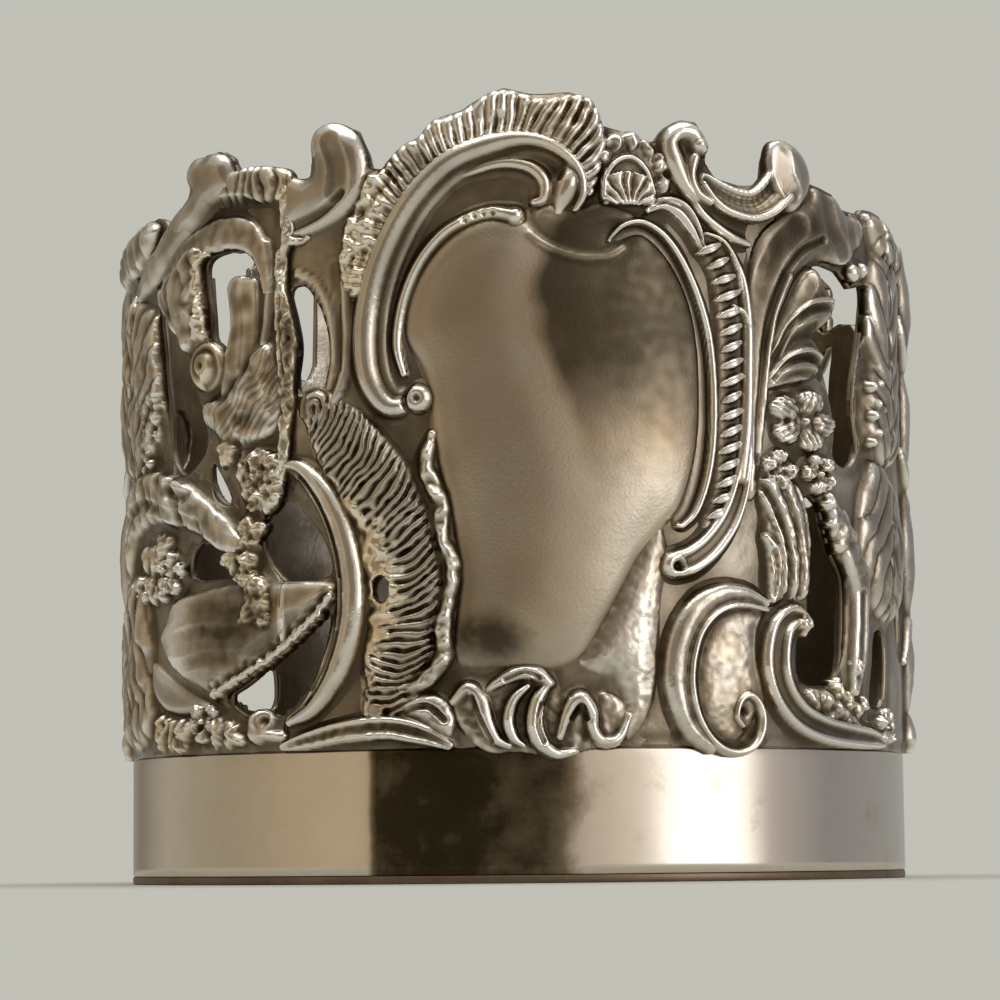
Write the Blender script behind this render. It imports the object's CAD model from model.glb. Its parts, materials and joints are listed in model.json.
import json
import math

import bpy
import numpy as np
from mathutils import Matrix, Vector, noise
from mathutils.bvhtree import BVHTree
from mathutils.kdtree import KDTree

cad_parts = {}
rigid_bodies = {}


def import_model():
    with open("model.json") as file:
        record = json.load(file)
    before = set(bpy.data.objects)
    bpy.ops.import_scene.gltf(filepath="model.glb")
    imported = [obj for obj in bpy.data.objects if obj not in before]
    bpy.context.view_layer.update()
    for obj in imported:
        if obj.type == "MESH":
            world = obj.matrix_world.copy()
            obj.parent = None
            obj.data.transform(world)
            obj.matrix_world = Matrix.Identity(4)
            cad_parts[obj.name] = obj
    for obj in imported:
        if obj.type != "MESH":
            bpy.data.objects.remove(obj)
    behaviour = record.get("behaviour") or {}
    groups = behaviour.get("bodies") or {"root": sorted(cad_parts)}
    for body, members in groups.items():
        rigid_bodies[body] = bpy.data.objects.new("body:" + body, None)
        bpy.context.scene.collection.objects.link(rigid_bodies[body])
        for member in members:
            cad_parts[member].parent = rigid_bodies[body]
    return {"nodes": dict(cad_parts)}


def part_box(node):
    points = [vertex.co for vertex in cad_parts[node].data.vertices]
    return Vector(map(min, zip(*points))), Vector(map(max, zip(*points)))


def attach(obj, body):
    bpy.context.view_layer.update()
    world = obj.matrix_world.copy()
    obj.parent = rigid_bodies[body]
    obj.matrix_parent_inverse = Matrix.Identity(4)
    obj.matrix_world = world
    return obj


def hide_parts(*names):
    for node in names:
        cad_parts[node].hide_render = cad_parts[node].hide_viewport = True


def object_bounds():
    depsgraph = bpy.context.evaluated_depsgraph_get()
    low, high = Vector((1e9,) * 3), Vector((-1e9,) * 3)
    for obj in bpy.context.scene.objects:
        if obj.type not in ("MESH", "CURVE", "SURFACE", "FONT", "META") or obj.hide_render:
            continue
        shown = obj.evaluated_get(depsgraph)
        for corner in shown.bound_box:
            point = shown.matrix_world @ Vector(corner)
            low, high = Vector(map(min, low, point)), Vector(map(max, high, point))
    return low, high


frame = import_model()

cadLow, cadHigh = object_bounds()
mm = 0.001
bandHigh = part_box("base_band")[1]
wallRadius = bandHigh.x / mm  # outside of the wall, mm
bandTop = bandHigh.z / mm  # where the pierced wall starts, mm
wallTop = cadHigh.z / mm
boxHalf = (cadHigh - cadLow) / 2 / mm  # nothing reaches past the solids' own box
arc = math.radians(1) * wallRadius  # mm round the wall for one degree
halfTurn = Matrix.Rotation(math.pi, 4, "Z")
blank = -9.0  # depth where nothing is drawn, mm
tiny = 1e-6
edgeCell = 1.001  # keeps the far edge of a table inside its last cell
print("frame: wall radius", round(wallRadius, 2), "band top", round(bandTop, 2))


# drawing on the unrolled wall: u mm round it, h mm up, lift mm off it
def onWall(u, h, lift):
    turn = u / wallRadius
    reach = wallRadius + lift
    return np.stack([reach * np.sin(turn), -reach * np.cos(turn), h], 1) * mm


def curve(rows, steps=6, closed=False):
    p = np.array(rows, float)
    p[:, 0] *= arc
    n = len(p)
    spans = n if closed else n - 1
    pick = (lambda i: p[i % n]) if closed else (lambda i: p[min(max(i, 0), n - 1)])
    out = []
    for i in range(spans):
        a, b, c, d = pick(i - 1), pick(i), pick(i + 1), pick(i + 2)
        for t in np.arange(steps) / steps:
            out.append((2 * b + (c - a) * t + (2 * a - 5 * b + 4 * c - d) * t**2
                        + (3 * b - a - 3 * c + d) * t**3) / 2)
    out.append(p[0] if closed else p[-1])
    return np.array(out)


def nearest(sheet, line, margin):
    u, h = sheet["u"], sheet["h"]
    low, high = line[:, :2].min(0) - margin, line[:, :2].max(0) + margin
    near = np.flatnonzero((u > low[0]) & (u < high[0]) & (h > low[1]) & (h < high[1]))
    p = np.stack([u[near], h[near]], 1)
    best, place, side = np.full(len(p), np.inf), np.zeros(len(p)), np.ones(len(p))
    for i in range(len(line) - 1):
        step, off = line[i + 1, :2] - line[i, :2], p - line[i, :2]
        t = np.clip(off @ step / max(step @ step, tiny), 0, 1)
        dist = np.hypot(*(off - t[:, None] * step).T)
        closer = dist < best
        best[closer] = dist[closer]
        place[closer] = i + t[closer]
        side[closer] = np.sign(step[0] * off[closer, 1] - step[1] * off[closer, 0])
    return near, best, place, side


def within(sheet, near, line):
    u, h = sheet["u"][near], sheet["h"][near]
    odd = np.zeros(len(near), bool)
    for a, b in zip(line[:-1], line[1:]):
        cross = (a[1] > h) != (b[1] > h)
        rise = b[1] - a[1] if abs(b[1] - a[1]) > tiny else tiny
        odd ^= cross & (u < (b[0] - a[0]) * (h - a[1]) / rise + a[0])
    return odd


profiles = {
    "rolled": 0.26, "rolledBed": 0.45, "double": (0.6, -0.58), "doubleLow": 0.85, "doubleBed": 0.58,
    "lip": 0.58, "lipBed": 0.22, "veinEdge": 0.35, "veinDepth": 0.45, "veinWidth": 0.16, "coveFloor": 0.35,
    "coveCurve": 1.8,
}  # how far ridges stand off the middle, and how high the bed beside them is


def roundRib(t):
    return np.sqrt(np.clip(1 - t * t, 0, 1))


def flatRib(t):
    return np.clip(1 - t**4, 0, 1) ** 0.5


def ridge(t, off):  # round ridge that stands to one side
    return roundRib(np.clip((t - off) / (1 - abs(off)), -1, 1))


def rolledRib(t):  # broad round tube with a lower flange inside it
    return np.maximum(ridge(t, profiles["rolled"]), profiles["rolledBed"] * flatRib(t))


def doubleRib(t):  # two lips with a channel between
    left, right = [ridge(t, off) for off in profiles["double"]]
    return np.maximum(np.maximum(left, profiles["doubleLow"] * right), profiles["doubleBed"] * flatRib(t))


def lipRib(t):  # a groove, then one thin ridge on the outside
    return np.maximum(ridge(t, profiles["lip"]), profiles["lipBed"] * flatRib(t))


def veinRib(t):  # leaf blade with a sunk middle vein
    blade = profiles["veinEdge"] + (1 - profiles["veinEdge"]) * roundRib(t)
    return blade * (1 - profiles["veinDepth"] * np.exp(-((t / profiles["veinWidth"]) ** 2))) * flatRib(t)


def coveRib(t):  # hollow trough between two rims
    floor = profiles["coveFloor"]
    return flatRib(t) * (floor + (1 - floor) * np.abs(t) ** profiles["coveCurve"])


def add(sheet, near, reach, lift):
    inside = reach > 0
    hit = near[inside]
    sheet["lift"][hit] = np.maximum(sheet["lift"][hit], lift[inside])
    sheet["reach"][near] = np.maximum(sheet["reach"][near], reach)


def strap(sheet, rows, profile=roundRib, steps=6):  # rows: angle, height, half width, crown
    line = curve(rows, steps)
    near, dist, place, side = nearest(sheet, line, line[:, 2].max() + relief["margin"])
    at = np.arange(len(line))
    width, crown = np.interp(place, at, line[:, 2]), np.interp(place, at, line[:, 3])
    add(sheet, near, width - dist, crown * profile(np.clip(side * dist / width, -1, 1)))


def straps(sheet, lines, profile=roundRib):
    for rows in lines:
        strap(sheet, rows, profile)


def dome(sheet, rows, crown, shoulder, steps=5):  # rows: angle, height round the edge
    line = curve(rows, steps, True)
    near, dist, _, _ = nearest(sheet, line, relief["margin"])
    reach = np.where(within(sheet, near, line), dist, -dist)
    share = np.clip(reach / shoulder, 0, 1)
    add(sheet, near, reach, crown * np.sqrt(1 - (1 - share) ** 2))


def ball(sheet, place, radius, crown):
    off = np.hypot(sheet["u"] - place[0] * arc, sheet["h"] - place[1])
    near = np.flatnonzero(off < radius + relief["margin"])
    add(sheet, near, radius - off[near], crown * roundRib(np.clip(off[near] / radius, 0, 1)))


def balls(sheet, spots):
    for spot in spots:
        ball(sheet, *spot)


lump = {"size": 1.08, "waves": [(3, 1, 0.22), (5, 2, 0.12)], "reach": 1.5}  # waves: count, shift, depth


def nugget(sheet, place, radius, crown):  # rough uneven lump
    far, turn = polar(sheet, place)
    seed = 7 * place[0] + 3 * place[1]
    waves = sum(depth * np.sin(count * turn + shift * seed) for count, shift, depth in lump["waves"])
    edge = radius * (lump["size"] + waves)
    near = np.flatnonzero(far < lump["reach"] * radius + relief["margin"])
    add(sheet, near, (edge - far)[near], crown * roundRib(np.clip(far / edge, 0, 1))[near])


def nuggets(sheet, spots, swell):
    for place, size, crown in spots:
        nugget(sheet, place, swell * size, crown)


dents = {"coarse": 0.5, "fold": 0.5, "foldSize": 0.8, "foldLevel": 0.35, "fine": 0.25, "fineSize": 2.4}


def crumple(sheet, size, depth, seed):  # uneven lumps with some sharp folds
    folds = dents["foldLevel"] - np.abs(grain(sheet, dents["foldSize"] * size, seed + 1))
    fine = grain(sheet, size / dents["fineSize"], seed + 2)
    return depth * (dents["coarse"] * grain(sheet, size, seed) + dents["fold"] * folds + dents["fine"] * fine)


def waver(sheet, amount, size, seed):
    return amount * grain(sheet, size, seed)


def mottle(sheet, amount, size, seed):
    sheet["stain"] += waver(sheet, amount, size, seed)


def dent(sheet, size, depth, seed):
    sheet["lift"] += crumple(sheet, size, depth, seed)


def roughen(sheet, *rows):  # rows: depth, size, seed
    sheet["lift"] += sum(waver(sheet, *row) for row in rows)


def jitter(k, amount, rate, *seed):  # uneven steps along a row of things
    return amount * noise.noise((k * rate, *seed))


def eased(values, start, span, least=0):  # rises from 0 at start to 1 over the span
    return np.clip((values - start) / span, least, 1)


def gild(sheet, spots, spread, amount):  # warm tone left round each lump
    for place, size, _ in spots:
        far, _ = polar(sheet, place)
        sheet["warm"] = np.maximum(sheet["warm"], amount * np.exp(-((far / (spread * size)) ** 2)))


leafRibs = {"slant": 0.55, "step": 0.12, "wander": (0.25, 2.4, 57), "edge": 0.5, "hollow": 0.35, "vein": 0.16}


def veined(sheet, veins, depth, notch):  # ribs that slant off a vein; rows: line, half width, ribs
    wander, size, seed = leafRibs["wander"]
    for rows, half, count in veins:
        line = curve(rows)
        near, dist, place, side = nearest(sheet, line, half)
        run = place / (len(line) - 1) * count - leafRibs["slant"] * dist + leafRibs["step"] * side
        edge = np.clip((half - dist) / leafRibs["edge"], 0, 1)
        ribs = flutes(run + wander * grain(sheet, size, seed)[near], 1) * edge
        sheet["lift"][near] += depth * ribs
        sheet["reach"][near] += notch * ribs * np.clip(dist / half, 0, 1)
        groove(sheet, rows, leafRibs["hollow"], depth)
        groove(sheet, rows, leafRibs["vein"], -depth)


def groove(sheet, rows, width, depth, steps=5):  # cut along a line; a negative depth raises it
    line = curve(rows, steps)
    near, dist, _, _ = nearest(sheet, line, width)
    sheet["lift"][near] -= depth * roundRib(np.clip(dist / width, 0, 1)) ** relief["grooveCurve"]


def grooves(sheet, rows):  # rows: line, half width, depth
    for line, width, depth in rows:
        groove(sheet, line, width, depth)


def scores(sheet, lines, width, depth):  # all lines cut alike
    for line in lines:
        groove(sheet, line, width, depth)


def soften(sheet, size, rim):  # evens out creases inside the outline, then rounds its rim again
    order, shape = sheet["order"], sheet["shape"]
    lift, reach = sheet["lift"][order].reshape(shape), sheet["reach"][order].reshape(shape)
    mask = (reach > 0).astype(float)
    cells = max(int(size / sheet["pitch"]), 1)
    for _ in range(2):
        lift = blurred(lift * mask, cells) / np.maximum(blurred(mask, cells), tiny)
    edge = np.clip(reach / rim, 0, 1)
    lift = np.where(mask > 0, lift * np.sqrt(1 - (1 - edge) ** 2), blank)
    sheet["lift"][order] = lift.ravel()


def pit(sheet, place, radius, depth):
    off = np.hypot(sheet["u"] - place[0] * arc, sheet["h"] - place[1])
    sheet["lift"] -= depth * np.exp(-((off / radius) ** 2))


def pits(sheet, places, radius, depth):
    for place in places:
        pit(sheet, place, radius, depth)


tarnish = {"patch": (0.2, 2.6), "speck": (0.1, 0.5), "outer": 1.7, "soft": 1.5}
noiseGain = 1.6  # brings the noise to about -1 to 1


def stain(sheet, place, size, amount, seed):  # soft uneven patch of tarnish; a negative one is rubbed bright
    off = np.hypot((sheet["u"] / arc - place[0]) / size[0], (sheet["h"] - place[1]) / size[1])
    (patch, patchSize), (speck, speckSize) = tarnish["patch"], tarnish["speck"]
    off += patch * grain(sheet, patchSize, seed) + speck * grain(sheet, speckSize, seed + 1)
    fade = np.clip((tarnish["outer"] - off) / tarnish["soft"], 0, 1)
    sheet["stain"] += amount * fade * fade * (3 - 2 * fade)


def stains(sheet, rows):  # rows: place, size, darkness, seed
    for row in rows:
        stain(sheet, *row)


def grain(sheet, size, seed):  # soft noise
    spots = zip(sheet["u"], sheet["h"])
    return np.array([noise.noise((u / size, h / size, seed)) for u, h in spots]) * noiseGain


def polar(sheet, place):
    du, dh = sheet["u"] - place[0] * arc, sheet["h"] - place[1]
    return np.hypot(du, dh), np.arctan2(du, dh)


def flutes(phase, depth):  # round crests, sharp valleys
    return depth * (np.sqrt(np.abs(np.sin(math.pi * phase))) - 1)


def edgeShift(grid, reach, keep):
    # pulls the ring of points outside the outline in to the outline itself
    u, h = grid
    best = np.full(reach.shape, -1.0)
    du, dh = np.zeros(reach.shape), np.zeros(reach.shape)
    for i in (-1, 0, 1):
        for j in (-1, 0, 1):
            if i == j == 0:
                continue
            inner = np.roll(reach, (i, j), (0, 1))
            gain = inner / np.hypot(i, j)
            better = (~keep) & (inner > 0) & (gain > best)
            best[better] = gain[better]
            share = np.clip(inner / np.maximum(inner - reach, tiny), relief["leastShift"], 1)
            nu, nh = np.roll(u, (i, j), (0, 1)), np.roll(h, (i, j), (0, 1))
            du[better] = (nu + (u - nu) * share)[better]
            dh[better] = (nh + (h - nh) * share)[better]
    rim = best > 0
    return rim, np.where(rim, du, u), np.where(rim, dh, h)


def blurred(values, cells):
    out = values
    for axis in (0, 1):
        pad = np.concatenate([np.repeat(out.take([0], axis), cells, axis), out,
                              np.repeat(out.take([-1], axis), cells + 1, axis)], axis)
        total = np.cumsum(pad, axis)
        n = out.shape[axis]
        hi = total.take(range(2 * cells, 2 * cells + n), axis)
        lo = np.concatenate([np.zeros_like(total.take([0], axis)), total], axis).take(range(n), axis)
        out = (hi - lo) / (2 * cells + 1)
    return out


relief = {"rimLift": -0.14, "backLift": -0.45, "polishReach": 0.55, "polishDepth": 0.28, "foot": 0.95,
          "footRise": 0.5, "margin": 1.2, "backShare": 0.12, "inset": 0.07, "grooveCurve": 1.5,
          "leastTurn": 0.1, "leastShift": 0.02}
openwork = {}  # how far each spot of the wall lies from an opening, mm


def room(u, h):
    a0, a1, h0, h1 = gallery["span"]
    x = np.clip((u / arc - a0) / (a1 - a0), 0, 1) * (openwork["room"].shape[1] - edgeCell)
    y = np.clip((h - h0) / (h1 - h0), 0, 1) * (openwork["room"].shape[0] - edgeCell)
    i, j = y.astype(int), x.astype(int)
    fy, fx = y - i, x - j
    at = openwork["room"] - relief["inset"]  # a little short of the wall's own edge
    return ((at[i, j] * (1 - fx) + at[i, j + 1] * fx) * (1 - fy)
            + (at[i + 1, j] * (1 - fx) + at[i + 1, j + 1] * fx) * fy)


def trimmed(sheet):  # nothing hangs over an opening of the wall
    sheet["reach"] = np.minimum(sheet["reach"], room(sheet["u"], sheet["h"]))


def footed(reach, lift, grid, pitch):  # the relief runs out into the wall in a hollow foot
    wide = np.maximum(reach, np.minimum(reach + relief["foot"], room(*grid)))
    ground = np.where(reach > 0, np.maximum(lift, relief["rimLift"]), relief["rimLift"])
    cells = max(int(round(relief["foot"] / pitch / 2)), 1)
    slope = blurred(blurred(ground, cells), cells)
    inner = np.clip(reach / relief["footRise"], 0, 1)
    return wide, np.where(reach > 0, np.maximum(lift, slope * (1 - inner) + lift * inner), slope)


def chase(name, draw, span, pitch=0.13, back=None, foot=True):
    # one grid, cut to the drawn outline, raised to the drawn relief and given a back
    spare = relief["foot"] if foot else 0
    a0, a1, h0, h1 = span[0] - spare / arc, span[1] + spare / arc, span[2] - spare, span[3] + spare
    nx, ny = int((a1 - a0) * arc / pitch), int((h1 - h0) / pitch)
    bpy.ops.object.select_all(action="DESELECT")
    bpy.ops.mesh.primitive_grid_add(x_subdivisions=nx, y_subdivisions=ny, size=1)
    piece = bpy.context.object
    piece.name = name
    mesh = piece.data
    mesh.uv_layers.remove(mesh.uv_layers[0])
    co = np.empty(len(mesh.vertices) * 3)
    mesh.vertices.foreach_get("co", co)
    co = co.reshape(-1, 3)
    u = (a0 + (co[:, 0] + 0.5) * (a1 - a0)) * arc
    h = h0 + (co[:, 1] + 0.5) * (h1 - h0)
    shape = (ny + 1, nx + 1)
    order = np.lexsort((np.round(u, 6), np.round(h, 6)))
    sheet = {"u": u, "h": h, "lift": np.full(len(u), blank), "reach": np.full(len(u), blank),
             "stain": np.zeros(len(u)), "warm": np.zeros(len(u)),
             "order": order, "shape": shape, "pitch": pitch}
    draw(sheet)
    reach, lift = sheet["reach"][order].reshape(shape), sheet["lift"][order].reshape(shape)
    grid = (u[order].reshape(shape), h[order].reshape(shape))
    if foot:
        reach, lift = footed(reach, lift, grid, pitch)
    keep = reach > 0
    rim, gu, gh = edgeShift(grid, reach, keep)
    gl = np.where(keep, np.maximum(lift, relief["rimLift"]), relief["rimLift"])
    turn = gu / wallRadius
    least = relief["leastTurn"]
    limit = np.minimum(boxHalf.x / np.maximum(np.abs(np.sin(turn)), least),
                       boxHalf.y / np.maximum(np.abs(np.cos(turn)), least))
    gl = np.minimum(gl, limit - wallRadius)
    soft = blurred(gl, max(int(relief["polishReach"] / pitch), 1))
    dark = sheet["stain"][order].reshape(shape)
    polish = np.clip(0.5 + (gl - soft) / (2 * relief["polishDepth"]) - dark, 0, 1)
    flat = {"warm": np.clip(sheet["warm"], 0, 1)}
    fields = {"u": gu, "h": gh, "lift": gl, "polish": polish, "kept": keep | rim, "core": keep}
    for key, values in fields.items():
        spread = np.empty(len(u))
        spread[order] = values.ravel()
        flat[key] = spread
    corners = np.empty(len(mesh.loops), np.int32)
    mesh.loops.foreach_get("vertex_index", corners)
    corners = corners.reshape(-1, 4)
    good = flat["kept"][corners].all(1) & flat["core"][corners].any(1)
    for key in ("u", "h", "lift", "polish", "warm"):
        layer = mesh.attributes.new(key, "FLOAT", "POINT")
        layer.data.foreach_set("value", flat[key].astype(np.float32))
    bpy.ops.object.mode_set(mode="EDIT")
    bpy.ops.mesh.select_mode(type="FACE")
    bpy.ops.object.mode_set(mode="OBJECT")
    mesh.polygons.foreach_set("select", ~good)
    bpy.ops.object.mode_set(mode="EDIT")
    bpy.ops.mesh.delete(type="FACE")
    bpy.ops.mesh.select_mode(type="VERT")
    bpy.ops.mesh.select_all(action="SELECT")
    bpy.ops.mesh.extrude_region_move(TRANSFORM_OT_translate={"value": (0, 0, 0.1)})  # placed below
    bpy.ops.object.mode_set(mode="OBJECT")
    count = len(mesh.vertices)
    top = np.empty(count, bool)
    mesh.vertices.foreach_get("select", top)
    read = {}
    for key in ("u", "h", "lift"):
        values = np.empty(count, np.float32)
        mesh.attributes[key].data.foreach_get("value", values)
        read[key] = values.astype(float)
    under = np.full(count, relief["backLift"]) if back is None else back(read["u"], read["h"])
    place = onWall(read["u"], read["h"], np.where(top, read["lift"], under))
    mesh.vertices.foreach_set("co", place.ravel())
    for key in ("u", "h", "lift"):
        mesh.attributes.remove(mesh.attributes[key])
    mesh.update()
    bpy.ops.object.mode_set(mode="EDIT")
    bpy.ops.mesh.select_all(action="SELECT")
    bpy.ops.mesh.normals_make_consistent(inside=False)
    if foot:  # the back that lies on the wall needs few faces, except along its edge
        bpy.ops.mesh.select_all(action="DESELECT")
        bpy.ops.object.mode_set(mode="OBJECT")
        mesh.vertices.foreach_set("select", ~top)
        bpy.ops.object.mode_set(mode="EDIT")
        bpy.ops.mesh.select_less()
        bpy.ops.mesh.decimate(ratio=relief["backShare"])
    bpy.ops.object.mode_set(mode="OBJECT")
    bpy.ops.object.shade_smooth()
    return piece


def joined(name, pieces):
    bpy.ops.object.select_all(action="DESELECT")
    for p in pieces:
        p.select_set(True)
    bpy.context.view_layer.objects.active = pieces[0]
    if len(pieces) > 1:
        bpy.ops.object.join()
    piece = bpy.context.object
    piece.name = name
    return piece


def backCopy(piece, name):
    bpy.ops.object.select_all(action="DESELECT")
    piece.select_set(True)
    bpy.context.view_layer.objects.active = piece
    bpy.ops.object.duplicate(linked=False)
    copy = bpy.context.object
    copy.name = name
    copy.data.transform(halfTurn)
    return copy


dressed = []


def settle(piece, node, slot):
    piece.data.materials.clear()
    piece.data.materials.append(finishes[slot])
    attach(piece, "root")
    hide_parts(node)
    dressed.append(piece)


def patchOf(draw, span, pitch):  # drawn by a function, or by a list of steps
    def inSteps(sheet):
        for act, *values in draw:
            act(sheet, *values)
    return chase("patch", draw if callable(draw) else inSteps, span, pitch)


def mount(node, patches, slot="ornament", pitch=0.13, backOnly=(), frontOnly=False):
    tail = "".join(word.capitalize() for word in node.split("_"))
    front = joined("front" + tail, [patchOf(*patch, pitch) for patch in patches])
    settle(front, "front_" + node, slot)
    print(node, "faces", len(front.data.polygons))
    if frontOnly:
        return
    rear = backCopy(front, "back" + tail)
    for draw, span in backOnly:
        patch = patchOf(draw, span, pitch)
        patch.data.transform(halfTurn)
        rear = joined("back" + tail, [rear, patch])
    settle(rear, "back_" + node, slot)


# finishes
def shaderNode(tree, kind, place, **values):
    node = tree.nodes.new(kind)
    node.location = place
    for key, value in values.items():
        setattr(node, key, value)
    return node


def feed(tree, socket, value):  # a number, or the output of another node
    if isinstance(value, bpy.types.NodeSocket):
        tree.links.new(value, socket)
    else:
        socket.default_value = value


def ramp(tree, place, stops, value):
    node = shaderNode(tree, "ShaderNodeValToRGB", place)
    while len(node.color_ramp.elements) < len(stops):
        node.color_ramp.elements.new(0.5)
    for element, (spot, colour) in zip(node.color_ramp.elements, stops):
        element.position = spot
        element.color = (*colour, 1)
    feed(tree, node.inputs["Fac"], value)
    return node.outputs["Color"]


def sumNode(tree, place, operation, *values, clamp=False):
    node = shaderNode(tree, "ShaderNodeMath", place, operation=operation, use_clamp=clamp)
    for socket, value in zip(node.inputs, values):
        feed(tree, socket, value)
    return node.outputs[0]


def noiseNode(tree, place, vector, scale, detail):
    node = shaderNode(tree, "ShaderNodeTexNoise", place)
    feed(tree, node.inputs["Vector"], vector)
    feed(tree, node.inputs["Scale"], scale)
    feed(tree, node.inputs["Detail"], detail)
    return node


def rangeNode(tree, place, value, limits, kind="LINEAR"):  # limits: from, from, to, to
    node = shaderNode(tree, "ShaderNodeMapRange", place, interpolation_type=kind)
    for key, limit in zip(("From Min", "From Max", "To Min", "To Max"), limits):
        feed(tree, node.inputs[key], limit)
    feed(tree, node.inputs["Value"], value)
    return node.outputs["Result"]


def attributeNode(tree, place, word):
    return shaderNode(tree, "ShaderNodeAttribute", place, attribute_name=word).outputs["Fac"]


def metal(name):
    material = bpy.data.materials.new(name)
    material.use_nodes = True
    tree = material.node_tree
    shader = tree.nodes["Principled BSDF"]
    shader.inputs["Metallic"].default_value = 1
    where = shaderNode(tree, "ShaderNodeTexCoord", (-1600, 0)).outputs["Object"]
    return material, tree, shader, where


def surfaced(tree, shader, colour, tone, height, look):  # colour, gloss and fine relief of the metal
    feed(tree, shader.inputs["Base Color"], colour)
    rough = rangeNode(tree, (-400, -100), tone, (0, 1, look["roughLow"], look["roughHigh"]))
    feed(tree, shader.inputs["Roughness"], rough)
    bump = shaderNode(tree, "ShaderNodeBump", (-300, -400))
    feed(tree, bump.inputs["Strength"], look["bumpStrength"])
    feed(tree, bump.inputs["Distance"], look["bumpDepth"] * mm)
    feed(tree, bump.inputs["Height"], height)
    feed(tree, shader.inputs["Normal"], bump.outputs["Normal"])


def tarnishedSilver(name, look):
    material, tree, shader, where = metal(name)
    polish = attributeNode(tree, (-1400, 300), "polish")
    grime = attributeNode(tree, (-1400, 500), "grime")
    warm = attributeNode(tree, (-1400, 700), "warm")
    cloud = noiseNode(tree, (-1200, 0), where, look["cloudScale"], look["cloudDetail"]).outputs["Fac"]
    high = sumNode(tree, (-1000, 300), "MULTIPLY_ADD", polish, look["polishGain"], look["polishBase"])
    shade = sumNode(tree, (-800, 200), "MULTIPLY", high, grime)
    mottle = sumNode(tree, (-800, 0), "MULTIPLY_ADD", cloud, look["cloudGain"], -look["cloudGain"] / 2)
    both = sumNode(tree, (-600, 100), "ADD", shade, mottle, clamp=True)
    tint = ramp(tree, (-400, 200), look["stops"], both)
    blush = noiseNode(tree, (-1200, 700), where, look["blushScale"], look["blushDetail"]).outputs["Fac"]
    drift = rangeNode(tree, (-1000, 700), blush, (look["blushFrom"], look["blushTo"], 0, look["blush"]))
    gilt = sumNode(tree, (-800, 700), "ADD", warm, drift, clamp=True)
    warmed = shaderNode(tree, "ShaderNodeMix", (-200, 300), data_type="RGBA", blend_type="MULTIPLY")
    feed(tree, warmed.inputs["Factor"], gilt)
    feed(tree, warmed.inputs["A"], tint)
    feed(tree, warmed.inputs["B"], (*look["gilt"], 1))
    fine = noiseNode(tree, (-600, -400), where, look["grainScale"], look["grainDetail"]).outputs["Fac"]
    surfaced(tree, shader, warmed.outputs["Result"], both, fine, look)
    return material


def plainSilver(name, look):  # the band and floor: smooth, with patches, pits and fine scratches round it
    material, tree, shader, where = metal(name)
    cloud = noiseNode(tree, (-1200, 200), where, look["cloudScale"], look["cloudDetail"])
    feed(tree, cloud.inputs["Roughness"], look["cloudRough"])
    split = shaderNode(tree, "ShaderNodeSeparateXYZ", (-1400, -200))
    feed(tree, split.inputs["Vector"], where)
    half = wallRadius * mm
    across = rangeNode(tree, (-1200, -200), split.outputs["X"], (-half, half, 0, 1))
    patch = ramp(tree, (-1000, -200), look["patch"], across)  # stained across the front, from left to right
    spots = cloud.outputs["Fac"]
    tone = sumNode(tree, (-700, 100), "MULTIPLY_ADD", spots, look["cloudGain"], patch, clamp=True)
    tint = ramp(tree, (-400, 200), look["stops"], tone)
    stretch = shaderNode(tree, "ShaderNodeMapping", (-1200, -500))
    feed(tree, stretch.inputs["Scale"], look["scratchScale"])
    feed(tree, stretch.inputs["Vector"], where)
    scratch = noiseNode(tree, (-900, -500), stretch.outputs["Vector"], 1, look["scratchDetail"])
    surfaced(tree, shader, tint, tone, scratch.outputs["Fac"], look)
    return material


silverStops = [(0.0, (0.036, 0.028, 0.018)), (0.25, (0.115, 0.09, 0.062)), (0.5, (0.38, 0.326, 0.256)),
               (0.72, (0.74, 0.692, 0.622)), (1.0, (0.97, 0.95, 0.915))]
ornamentLook = {
    "polishGain": 1.15, "polishBase": -0.05, "cloudScale": 300, "cloudDetail": 6, "cloudGain": 0.3,
    "roughLow": 0.38, "roughHigh": 0.13, "grainScale": 2400, "grainDetail": 3, "bumpStrength": 0.5,
    "bumpDepth": 0.05, "stops": silverStops, "gilt": (1, 0.9, 0.73), "blushScale": 170, "blushDetail": 4,
    "blushFrom": 0.48, "blushTo": 0.72, "blush": 0.6,
}
galleryLook = dict(ornamentLook, polishBase=-0.08, cloudGain=0.4, bumpStrength=0.4, roughHigh=0.2)
shieldStops = [(0.0, (0.026, 0.021, 0.013)), (0.25, (0.1, 0.08, 0.054)), (0.5, (0.36, 0.295, 0.215)),
               (0.72, (0.63, 0.545, 0.44)), (1.0, (0.88, 0.82, 0.74))]
shieldLook = dict(ornamentLook, stops=shieldStops, polishGain=0.9, polishBase=0.2, cloudScale=140,
                  cloudGain=0.24, roughLow=0.42, roughHigh=0.25, grainScale=4200, bumpStrength=0.32)
solderStops = [(0.0, (0.03, 0.024, 0.016)), (0.35, (0.17, 0.142, 0.1)), (0.62, (0.54, 0.49, 0.4)),
               (1.0, (0.94, 0.92, 0.86))]
solderLook = dict(ornamentLook, stops=solderStops, polishBase=0.02, roughHigh=0.12)
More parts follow.
